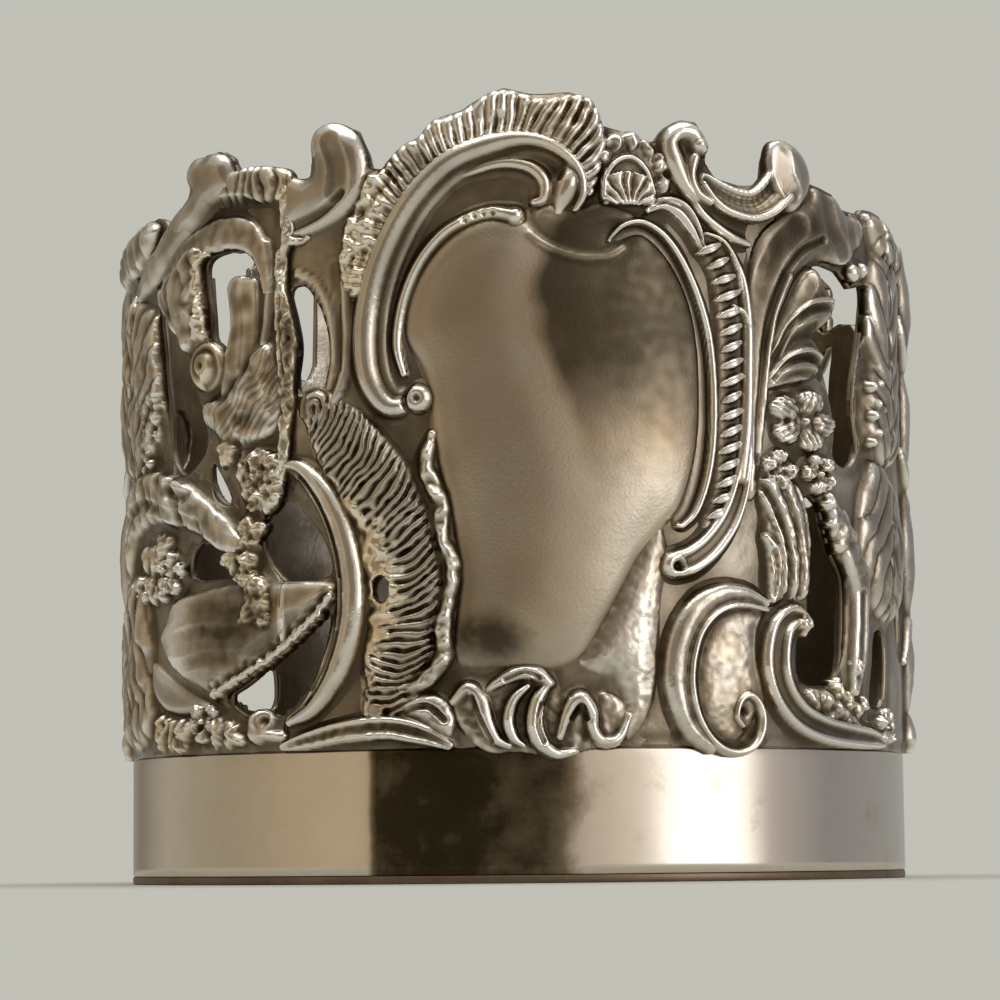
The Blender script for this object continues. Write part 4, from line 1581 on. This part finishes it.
stems = {
    "right": [
        (50.2, 27.4, 0.7, 0.8), (52.4, 25.6, 1.1, 1.0), (54.8, 23.8, 1.3, 1.05), (56.8, 21.8, 1.3, 1.0),
        (56.8, 19, 1.15, 0.95), (56.2, 16.4, 1.05, 0.9), (55.6, 14, 0.6, 0.6),
    ],
    "rightLumps": [
        ((49.4, 27.6), 0.6, 1.0), ((50.6, 26), 0.65, 1.0), ((52.6, 26.4), 0.7, 1.0),
        ((52.4, 24.6), 0.75, 1.1), ((54.6, 25.2), 0.6, 1.0), ((57, 23), 0.9, 1.05),
        ((54.6, 23.2), 0.6, 1.0),
    ],
    "arch": [(-76, 24, 1.2, 0.9), (-72.6, 27.4, 1.8, 1.0), (-67, 28.9, 2.2, 1.1), (-60, 28.8, 2.0, 1.15),
             (-54, 28.1, 1.7, 1.1), (-49, 27, 1.4, 1.0), (-44.5, 25.5, 1.2, 1.0), (-41.8, 24.6, 0.9, 0.9)],
    "rightCreases": [([(56.8, 21), (56.6, 18), (56, 15)], 0.5, 0.2)], "rightSwell": 1.1,
    "lumpy": (21, 3, 0.2), "lumpyRough": [(0.14, 1.2, 121), (0.05, 0.5, 120)], "legRise": (1.0, 2.6),
    "leftRise": (1.05, 2.8), "leftRibs": (0.3, 0.7), "leftWave": (0.12, 2.4, 128),
    "streakSize": (0.7, 6, 126), "streakDepth": 0.12, "archStreaks": 0.05, "archWave": (0.1, 1.8, 125),
    "berries": 14, "berryAt": (-66, 36), "berryStep": 0.36, "berryJitter": (3, 1.7, 3, 1),
    "berryRise": (0.5, 1.0), "leftSwell": 1.4, "coarse": (-66, 3), "coarseTop": 37,
    "coarseCrumple": (0.9, 0.42, 129), "gilt": (1.4, 0.7), "foldCut": (0.55, 0.25),
    "crumple": (2.2, 1, 136), "archRough": 0.36, "leafRough": 0.12,
    "archFolds": [
        [(-75, 26), (-70, 28.2), (-63, 28.4), (-56, 27.4), (-50, 26.4)],
        [(-66, 30.4), (-64.6, 28.6), (-65, 27)], [(-57, 29.6), (-54.6, 27.8), (-54.8, 26.8)],
        [(-61, 30.4), (-58, 29.4), (-52, 28.6)],
    ],
    "lobeLeft": [(-79, 44), (-74, 45.2), (-68, 44.2), (-63, 42.8), (-60.6, 40.4), (-59.8, 37), (-61.4, 34),
                 (-65, 31.2), (-71, 30.2), (-77, 31), (-80.6, 33.8), (-82, 38), (-81.4, 41.8)],
    "legLeft": [(-77, 23.2), (-71, 23.4), (-67, 21.4), (-65, 18.6), (-65.4, 15.6), (-64, 12.8),
                (-66.4, 10.6), (-72, 10), (-77.6, 10.6), (-80.6, 13.4), (-81.6, 17), (-80.4, 20.8)],
    "leftVeins": [([(-71, 30.6), (-72.4, 36), (-71, 40), (-71.6, 44.6)], 6.2, 5),
                  ([(-72, 23), (-73.4, 18.6), (-74, 14.4), (-73, 10.4)], 4.6, 4)],
    "leftLumps": [
        ((-62.4, 24.4), 0.8, 0.9), ((-60.2, 25.4), 0.7, 0.9), ((-64, 22.4), 0.8, 0.9),
        ((-66, 24.6), 0.7, 0.8), ((-61, 22), 0.6, 0.9), ((-54, 11.2), 0.8, 0.9), ((-57, 10.8), 0.8, 0.8),
        ((-60.4, 11.4), 0.9, 0.8), ((-46, 11.2), 0.8, 0.8), ((-43.4, 10.8), 0.7, 0.8),
    ],
    "lobeSteps": [
        (dome, [(57.6, 25.6), (58.8, 29), (62, 31.2), (67, 31), (72, 29.4), (76, 26.6), (76, 22.6),
                (71, 19.6), (64, 19.4), (59, 21.6)], 1.1, 3.2),  # lobe
        (veined, [([(67, 30.9), (67.4, 27), (66.6, 23), (67.4, 19.6)], 5.4, 4)], 0.24, 0.6),  # lobe veins
        (roughen, (0.1, 2, 124)),
    ],
    "beadedSteps": [
        (dome, [(61.6, 49.4), (63, 50.2), (68.6, 49.9), (74, 48.9), (78, 47.4), (76, 45.4), (70, 45.8),
                (64.8, 46.8)], 1.0, 1.4),  # cap
        (grooves,
         [([(66, 50), (67, 48), (66, 46.4)], 0.4, 0.35), ([(71, 49.6), (72, 47.6), (71, 46)], 0.4, 0.3)]),
        (dome, [(64.6, 47.2), (62.4, 45), (61.5, 43), (61.2, 40.6), (63, 38.6), (61, 37), (60.4, 34.6),
                (60.6, 32.6), (63.4, 31.2), (69, 31), (73.6, 32.4), (74.4, 37), (73.4, 39.4), (74.6, 43),
                (73.6, 46.4), (69, 47.4)], 1.1, 2.6),  # upright
        (veined, [([(67.4, 31.2), (67.8, 36), (67, 41), (67.6, 47)], 4.2, 6)], 0.26, 0.6),  # right veins
        (balls, [((61.2, 36.8), 0.5, 1.2), ((62.6, 35.6), 0.5, 1.2), ((61.4, 34.6), 0.5, 1.2),
                 ((62.8, 33.4), 0.5, 1.2), ((64.4, 35.2), 0.5, 1.2), ((64.8, 33.8), 0.5, 1.15),
                 ((61.2, 32.6), 0.45, 1.1), ((64, 37.2), 0.45, 1.15), ((66, 36), 0.45, 1.15)]),  # beads
        (roughen, (0.08, 1.8, 122)),
    ],
    "limbSteps": [
        (straps, [[(84, 48.6, 0.6, 0.6), (86.5, 45, 1.7, 1.15), (87.5, 42, 1.6, 1.15),
                   (86.5, 39.4, 0.7, 0.6)],
                  [(86.5, 39.4, 0.7, 0.6), (87.5, 36.6, 1.5, 1.15), (87.5, 33.4, 1.3, 1.0),
                   (86.4, 31, 0.5, 0.4)],
                  [(86, 30, 0.8, 0.6), (87.6, 27, 2.0, 1.2), (88, 23.6, 2.0, 1.2), (87, 20.4, 1.0, 0.8)],
                  [(87, 20.6, 0.8, 0.7), (87.6, 17.4, 1.4, 1.1), (88, 14, 1.2, 0.9), (88, 12.4, 0.6, 0.5)],
                  [(88, 12.2, 0.8, 0.8), (88, 10.8, 1.1, 1.1), (88, 9.8, 0.8, 0.8)]]),  # limb
        (straps, [[(87, 39.2, 0.35, 0.7), (84.4, 41, 0.75, 0.9), (82.4, 43.4, 0.3, 0.5)],
                  [(87, 39.2, 0.35, 0.7), (90.2, 40.8, 0.75, 0.9), (92.6, 43, 0.3, 0.5)],
                  [(86.6, 30.2, 0.35, 0.7), (83.6, 31.2, 0.75, 0.9), (81.4, 33, 0.3, 0.5)],
                  [(86.6, 30.2, 0.35, 0.7), (90.2, 31, 0.75, 0.9), (93, 32.6, 0.3, 0.5)],
                  [(87, 20.4, 0.35, 0.7), (84.4, 19, 0.8, 0.9), (82, 16.6, 0.3, 0.5)],
                  [(87, 20.4, 0.35, 0.7), (90.6, 19.4, 0.8, 0.9), (93.4, 17, 0.3, 0.5)]], veinRib),  # twigs
        (scores, [[(88.5, 47), (88, 43), (87, 37), (88.4, 33)], [(87, 28), (88.5, 24), (87, 17), (88, 13)]],
         0.7, 0.12),
        (roughen, (0.06, 1.6, 123)),
        (trimmed,),
    ],
    "knobSteps": [
        (dome, turned([(-82, 48.4), (-76, 49.6), (-70.4, 50), (-65.4, 50.3), (-62.6, 49.4), (-65, 47.4),
                       (-69, 46.6), (-76, 46.2), (-82, 46)]), 1.05, 1.5),  # knob left
        (scores, turnedLines([[(-67, 50.4), (-67.6, 48.6), (-66.6, 46.8)],
                              [(-71, 50), (-71.4, 48.4), (-70.4, 46.6)]]), 0.7, 0.2),
        (roughen, (0.08, 0.9, 127)),
    ],
}


def drawRightStem(sheet):
    d = stems
    strap(sheet, d["right"], flatRib)
    grooves(sheet, d["rightCreases"])
    nuggets(sheet, d["rightLumps"], d["rightSwell"])
    rough = sum(waver(sheet, *row) for row in d["lumpyRough"])
    sheet["lift"] += eased(sheet["h"], *d["lumpy"]) * rough


def drawLeftArch(sheet):
    d = stems
    dome(sheet, turned(d["legLeft"]), *d["legRise"])
    dome(sheet, turned(d["lobeLeft"]), *d["leftRise"])
    veined(sheet, [(turned(line), half, count) for line, half, count in d["leftVeins"]], *d["leftRibs"])
    wide, high, seed = d["streakSize"]
    streaks = np.array([noise.noise((u / wide, h / high, seed)) for u, h in zip(sheet["u"], sheet["h"])])
    sheet["lift"] += d["streakDepth"] * streaks + waver(sheet, *d["leftWave"])
    a, h = turned([d["berryAt"]])[0]
    for k in range(d["berries"]):
        place = (a + jitter(k, *d["berryJitter"]), h - k * d["berryStep"])
        ball(sheet, place, *d["berryRise"])
    lumps = turnedSpots(d["leftLumps"])
    nuggets(sheet, lumps, d["leftSwell"])
    coarse = eased(sheet["u"] / arc - beyond, *d["coarse"]) * (sheet["h"] < d["coarseTop"])
    sheet["lift"] += coarse * crumple(sheet, *d["coarseCrumple"])
    gild(sheet, lumps, *d["gilt"])
    leaves = sheet["lift"].copy()
    strap(sheet, turned(d["arch"]), flatRib)
    arched = sheet["lift"] > leaves
    scores(sheet, turnedLines(d["archFolds"]), *d["foldCut"])
    rough = np.where(arched, d["archRough"], d["leafRough"])
    sheet["lift"] += rough * crumple(sheet, *d["crumple"])
    sheet["lift"] += waver(sheet, *d["archWave"]) + d["archStreaks"] * streaks
    trimmed(sheet)


mount("flower_stems",
      [(drawRightStem, (48, 60.4, 12.6, 29)), (stems["lobeSteps"], (56.6, 77, 18.8, 31.8)),
       (stems["beadedSteps"], (59.4, 79, 30, 51)), (stems["limbSteps"], (80.4, 94.6, 9, 49.8)),
       (drawLeftArch, (97.6, 139.6, 9.4, 45.2))],
      pitch=0.13, backOnly=[(stems["knobSteps"], (97.6, 118, 45.6, 51))])

seam = {
    "strands": [
        [(-33.6, 51.6, 0.45, 0.5), (-33, 49, 0.6, 0.65), (-33, 47, 0.6, 0.7), (-34, 45.5, 0.45, 0.6),
         (-34.2, 43.5, 0.4, 0.55), (-34.4, 41, 0.4, 0.55), (-34, 38.5, 0.4, 0.55), (-33.8, 36, 0.4, 0.55),
         (-33.6, 33, 0.45, 0.6), (-33.8, 31, 0.5, 0.6), (-34, 29.4, 0.35, 0.45)],
        [(-33.8, 46, 0.4, 0.5), (-33.8, 43, 0.5, 0.6), (-33, 40.8, 0.65, 0.7), (-32.5, 38.8, 0.75, 0.75),
         (-33, 36.6, 0.7, 0.75), (-33, 34.6, 0.65, 0.7), (-33.4, 32.6, 0.4, 0.55)],
        [(-33.4, 46.9, 0.45, 0.6), (-31.4, 46.6, 0.4, 0.55), (-29.6, 46.8, 0.25, 0.4)],
    ],
    "span": (-37, -28.6, 28.6, 52), "pitch": 0.1, "crumple": (0.9, 0.34, 131), "stretch": 2.2,
    "rough": (0.08, 0.4, 132), "gilt": 0.6, "giltLevel": 0.5, "giltWave": (1, 1.6, 134),
    "shade": [((-31.6, 38.5), (1.8, 8), 0.35, 135)],
}


def drawSeam(sheet):
    d = seam
    straps(sheet, d["strands"])
    drawnOut = dict(sheet, h=sheet["h"] / d["stretch"])  # folds run up and down
    sheet["lift"] += crumple(drawnOut, *d["crumple"]) + waver(sheet, *d["rough"])
    sheet["warm"] += d["gilt"] * np.clip(d["giltLevel"] + waver(sheet, *d["giltWave"]), 0, 1)
    stains(sheet, d["shade"])


leftSeam = chase("leftSeam", drawSeam, seam["span"], seam["pitch"], foot=False)
settle(leftSeam, "left_seam", "solder")
rightSeam = backCopy(leftSeam, "rightSeam")
settle(rightSeam, "right_seam", "solder")
print("seams faces", len(leftSeam.data.polygons))

# foot
foot = {"floorTop": 0.6, "thick": 0.8, "sides": 360, "rows": 12, "bevel": 0.12, "floorBevel": 0.14,
        "dent": 0.045, "dentSize": 9, "dentLevel": 0.6, "smoothTo": 40}


def applied(piece, kind, **values):
    step = piece.modifiers.new(kind.lower(), kind)
    for key, value in values.items():
        setattr(step, key, value)
    bpy.ops.object.modifier_apply(modifier=step.name)


bpy.ops.object.select_all(action="DESELECT")
bpy.ops.mesh.primitive_circle_add(vertices=foot["sides"], radius=wallRadius * mm,
                                  location=(0, 0, foot["floorTop"] * mm))
baseBand = bpy.context.object
baseBand.name = "baseBand"
bpy.ops.object.transform_apply(location=True)
bpy.ops.object.mode_set(mode="EDIT")
bpy.ops.mesh.select_all(action="SELECT")
rowHeight = (bandTop - foot["floorTop"]) / foot["rows"] * mm
for _ in range(foot["rows"]):
    bpy.ops.mesh.extrude_region_move(TRANSFORM_OT_translate={"value": (0, 0, rowHeight)})
bpy.ops.mesh.select_all(action="SELECT")
bpy.ops.mesh.normals_make_consistent(inside=False)
bpy.ops.object.mode_set(mode="OBJECT")
applied(baseBand, "SOLIDIFY", thickness=foot["thick"] * mm, offset=-1)
applied(baseBand, "BEVEL", width=foot["bevel"] * mm, segments=2, limit_method="ANGLE")
for v in baseBand.data.vertices:
    out = Vector((v.co.x, v.co.y, 0)).normalized()
    wave = noise.noise(v.co / (foot["dentSize"] * mm)) - foot["dentLevel"]
    v.co += out * wave * foot["dent"] * mm
bpy.ops.object.shade_smooth_by_angle(angle=math.radians(foot["smoothTo"]))
settle(baseBand, "base_band", "band")

bpy.ops.object.select_all(action="DESELECT")
bpy.ops.mesh.primitive_cylinder_add(vertices=foot["sides"], radius=wallRadius * mm,
                                    depth=foot["floorTop"] * mm, location=(0, 0, foot["floorTop"] / 2 * mm))
floorPlate = bpy.context.object
floorPlate.name = "floorPlate"
bpy.ops.object.transform_apply(location=True)
applied(floorPlate, "BEVEL", width=foot["floorBevel"] * mm, segments=2, limit_method="ANGLE")
bpy.ops.object.shade_smooth_by_angle(angle=math.radians(foot["smoothTo"]))
settle(floorPlate, "floor_plate", "floor")
print("foot faces", len(baseBand.data.polygons), len(floorPlate.data.polygons))

# grime lies where a spot is lower than what stands round it
grimeMap = {"cell": 0.3, "reach": 1.3, "depth": 1.25, "inside": -0.3, "insideClean": 0.9, "least": 0.22,
            "ground": -0.05, "overlap": 20}


def polarOf(piece):
    co = np.empty(len(piece.data.vertices) * 3)
    piece.data.vertices.foreach_get("co", co)
    co = co.reshape(-1, 3) / mm
    turn = np.arctan2(co[:, 0], -co[:, 1]) % (2 * math.pi)
    return turn, co[:, 2], np.hypot(co[:, 0], co[:, 1]) - wallRadius


columns = int(2 * math.pi * wallRadius / grimeMap["cell"])
rows = int(wallTop / grimeMap["cell"]) + 2
heights = np.full((rows, columns), grimeMap["ground"])
for piece in dressed:
    turn, h, lift = polarOf(piece)
    row = np.clip(h / grimeMap["cell"], 0, rows - 1).astype(int)
    column = (turn / (2 * math.pi) * columns).astype(int) % columns
    np.maximum.at(heights, (row, column), lift)
reachCells, overlap = int(grimeMap["reach"] / grimeMap["cell"]), grimeMap["overlap"]
wide = np.concatenate([heights[:, -overlap:], heights, heights[:, :overlap]], 1)
around = blurred(blurred(wide, reachCells), reachCells)[:, overlap:-overlap]
for piece in dressed:
    turn, h, lift = polarOf(piece)
    x, y = turn / (2 * math.pi) * columns - 0.5, np.clip(h / grimeMap["cell"] - 0.5, 0, rows - edgeCell)
    i, j = np.floor(y).astype(int), np.floor(x).astype(int)
    fy, fx = y - i, x - j
    left, right, above = j % columns, (j + 1) % columns, np.minimum(i + 1, rows - 1)
    first = around[i, left] * (1 - fx) + around[i, right] * fx
    second = around[above, left] * (1 - fx) + around[above, right] * fx
    level = first * (1 - fy) + second * fy
    clean = np.clip(1 + (lift - level) / grimeMap["depth"], grimeMap["least"], 1)
    clean = np.where(lift < grimeMap["inside"], grimeMap["insideClean"], clean)
    layer = piece.data.attributes.new("grime", "FLOAT", "POINT")
    layer.data.foreach_set("value", clean.astype(np.float32))
print("grime on", len(dressed), "pieces")

# stage
studio = {
    "backdrop": (0.535, 0.53, 0.475), "floor": (0.55, 0.545, 0.5), "floorSize": 3.0, "floorRough": 0.9,
    "floorShine": 0.1, "fadeFrom": 0.033, "fadeTo": 0.064, "tentRadius": 0.9, "tentHeight": 0.75,
    "tentDrop": 0.05, "tentSides": 96, "lampSize": 1.3, "lampHeight": 1.3, "lampPower": 9,
    "tones": [
        (-180, (0.4, 0.4, 0.37)), (-150, (0.2, 0.18, 0.15)), (-124, (0.42, 0.38, 0.32)),
        (-95, (0.34, 0.29, 0.21)), (-60, (0.46, 0.37, 0.25)), (-46, (0.5, 0.41, 0.28)),
        (-38, (0.24, 0.195, 0.14)), (6, (0.23, 0.19, 0.145)), (20, (0.55, 0.48, 0.41)),
        (36, (0.8, 0.72, 0.64)), (44, (1.8, 1.77, 1.73)), (66, (1.9, 1.86, 1.8)), (76, (0.5, 0.45, 0.43)),
        (100, (0.26, 0.26, 0.27)), (180, (0.4, 0.4, 0.37)),
    ],  # degrees from the camera, tone
}
bpy.ops.object.select_all(action="DESELECT")
bpy.ops.mesh.primitive_plane_add(size=studio["floorSize"])
floor = bpy.context.object
floor.name = "studioFloor"
paper = bpy.data.materials.new("floorPaper")
paper.use_nodes = True
tree = paper.node_tree
shader = tree.nodes["Principled BSDF"]
shader.inputs["Base Color"].default_value = (*studio["floor"], 1)
shader.inputs["Roughness"].default_value = studio["floorRough"]
shader.inputs["Specular IOR Level"].default_value = studio["floorShine"]
where = shaderNode(tree, "ShaderNodeTexCoord", (-900, 0)).outputs["Object"]
far = shaderNode(tree, "ShaderNodeVectorMath", (-700, 0), operation="LENGTH")
feed(tree, far.inputs[0], where)
limits = (studio["fadeFrom"], studio["fadeTo"], 1, 0)
feed(tree, shader.inputs["Alpha"], rangeNode(tree, (-500, 0), far.outputs["Value"], limits, "SMOOTHSTEP"))
floor.data.materials.append(paper)

bpy.ops.object.select_all(action="DESELECT")
tentMiddle = studio["tentHeight"] / 2 - studio["tentDrop"]
bpy.ops.mesh.primitive_cylinder_add(vertices=studio["tentSides"], radius=studio["tentRadius"],
                                    depth=studio["tentHeight"], end_fill_type="NOTHING",
                                    location=(0, 0, tentMiddle))
tent = bpy.context.object  # walls of a light tent, seen only as reflections
tent.name = "lightTent"
bpy.ops.object.transform_apply(location=True)
tent.visible_camera = False
cloth = bpy.data.materials.new("tentCloth")
cloth.use_nodes = True
tree = cloth.node_tree
tree.nodes.remove(tree.nodes["Principled BSDF"])
glow = shaderNode(tree, "ShaderNodeEmission", (0, 0))
feed(tree, tree.nodes["Material Output"].inputs["Surface"], glow.outputs["Emission"])
where = shaderNode(tree, "ShaderNodeTexCoord", (-1200, 0)).outputs["Object"]
split = shaderNode(tree, "ShaderNodeSeparateXYZ", (-1000, 0))
feed(tree, split.inputs["Vector"], where)
facing = sumNode(tree, (-800, -100), "MULTIPLY", split.outputs["Y"], -1)
azimuth = sumNode(tree, (-600, 0), "ARCTAN2", split.outputs["X"], facing)
share = rangeNode(tree, (-450, 0), azimuth, (-math.pi, math.pi, 0, 1))
tones = ramp(tree, (-300, 0), [((a + 180) / 360, colour) for a, colour in studio["tones"]], share)
feed(tree, glow.inputs["Color"], tones)
tent.data.materials.append(cloth)

bpy.ops.object.light_add(type="AREA", location=(0, 0, studio["lampHeight"]))
lamp = bpy.context.object
lamp.name = "overheadLamp"
lamp.data.size = studio["lampSize"]
lamp.data.energy = studio["lampPower"]

world = bpy.data.worlds.new("room")
world.use_nodes = True
world.node_tree.nodes["Background"].inputs["Color"].default_value = (*studio["backdrop"], 1)
world.node_tree.nodes["Background"].inputs["Strength"].default_value = 1
bpy.context.scene.world = world
print("studio", len(studio["tones"]), "tones round the tent")

# camera
cameraSet = {"place": (0, -320, 2), "aim": -1.21, "pitch": 4.97, "roll": 0.55, "lens": 147, "sensor": 36}
bpy.ops.object.camera_add()
camera = bpy.context.object
camera.data.lens = cameraSet["lens"]
camera.data.sensor_width = cameraSet["sensor"]
away = -cameraSet["place"][1]
look = Vector((cameraSet["aim"], away, away * math.tan(math.radians(cameraSet["pitch"]))))
turn = look.to_track_quat("-Z", "Y").to_matrix().to_4x4()
camera.matrix_world = (Matrix.Translation(Vector(cameraSet["place"]) * mm) @ turn
                       @ Matrix.Rotation(-math.radians(cameraSet["roll"]), 4, "Z"))
bpy.context.scene.camera = camera
bpy.context.scene.view_settings.view_transform = "Standard"
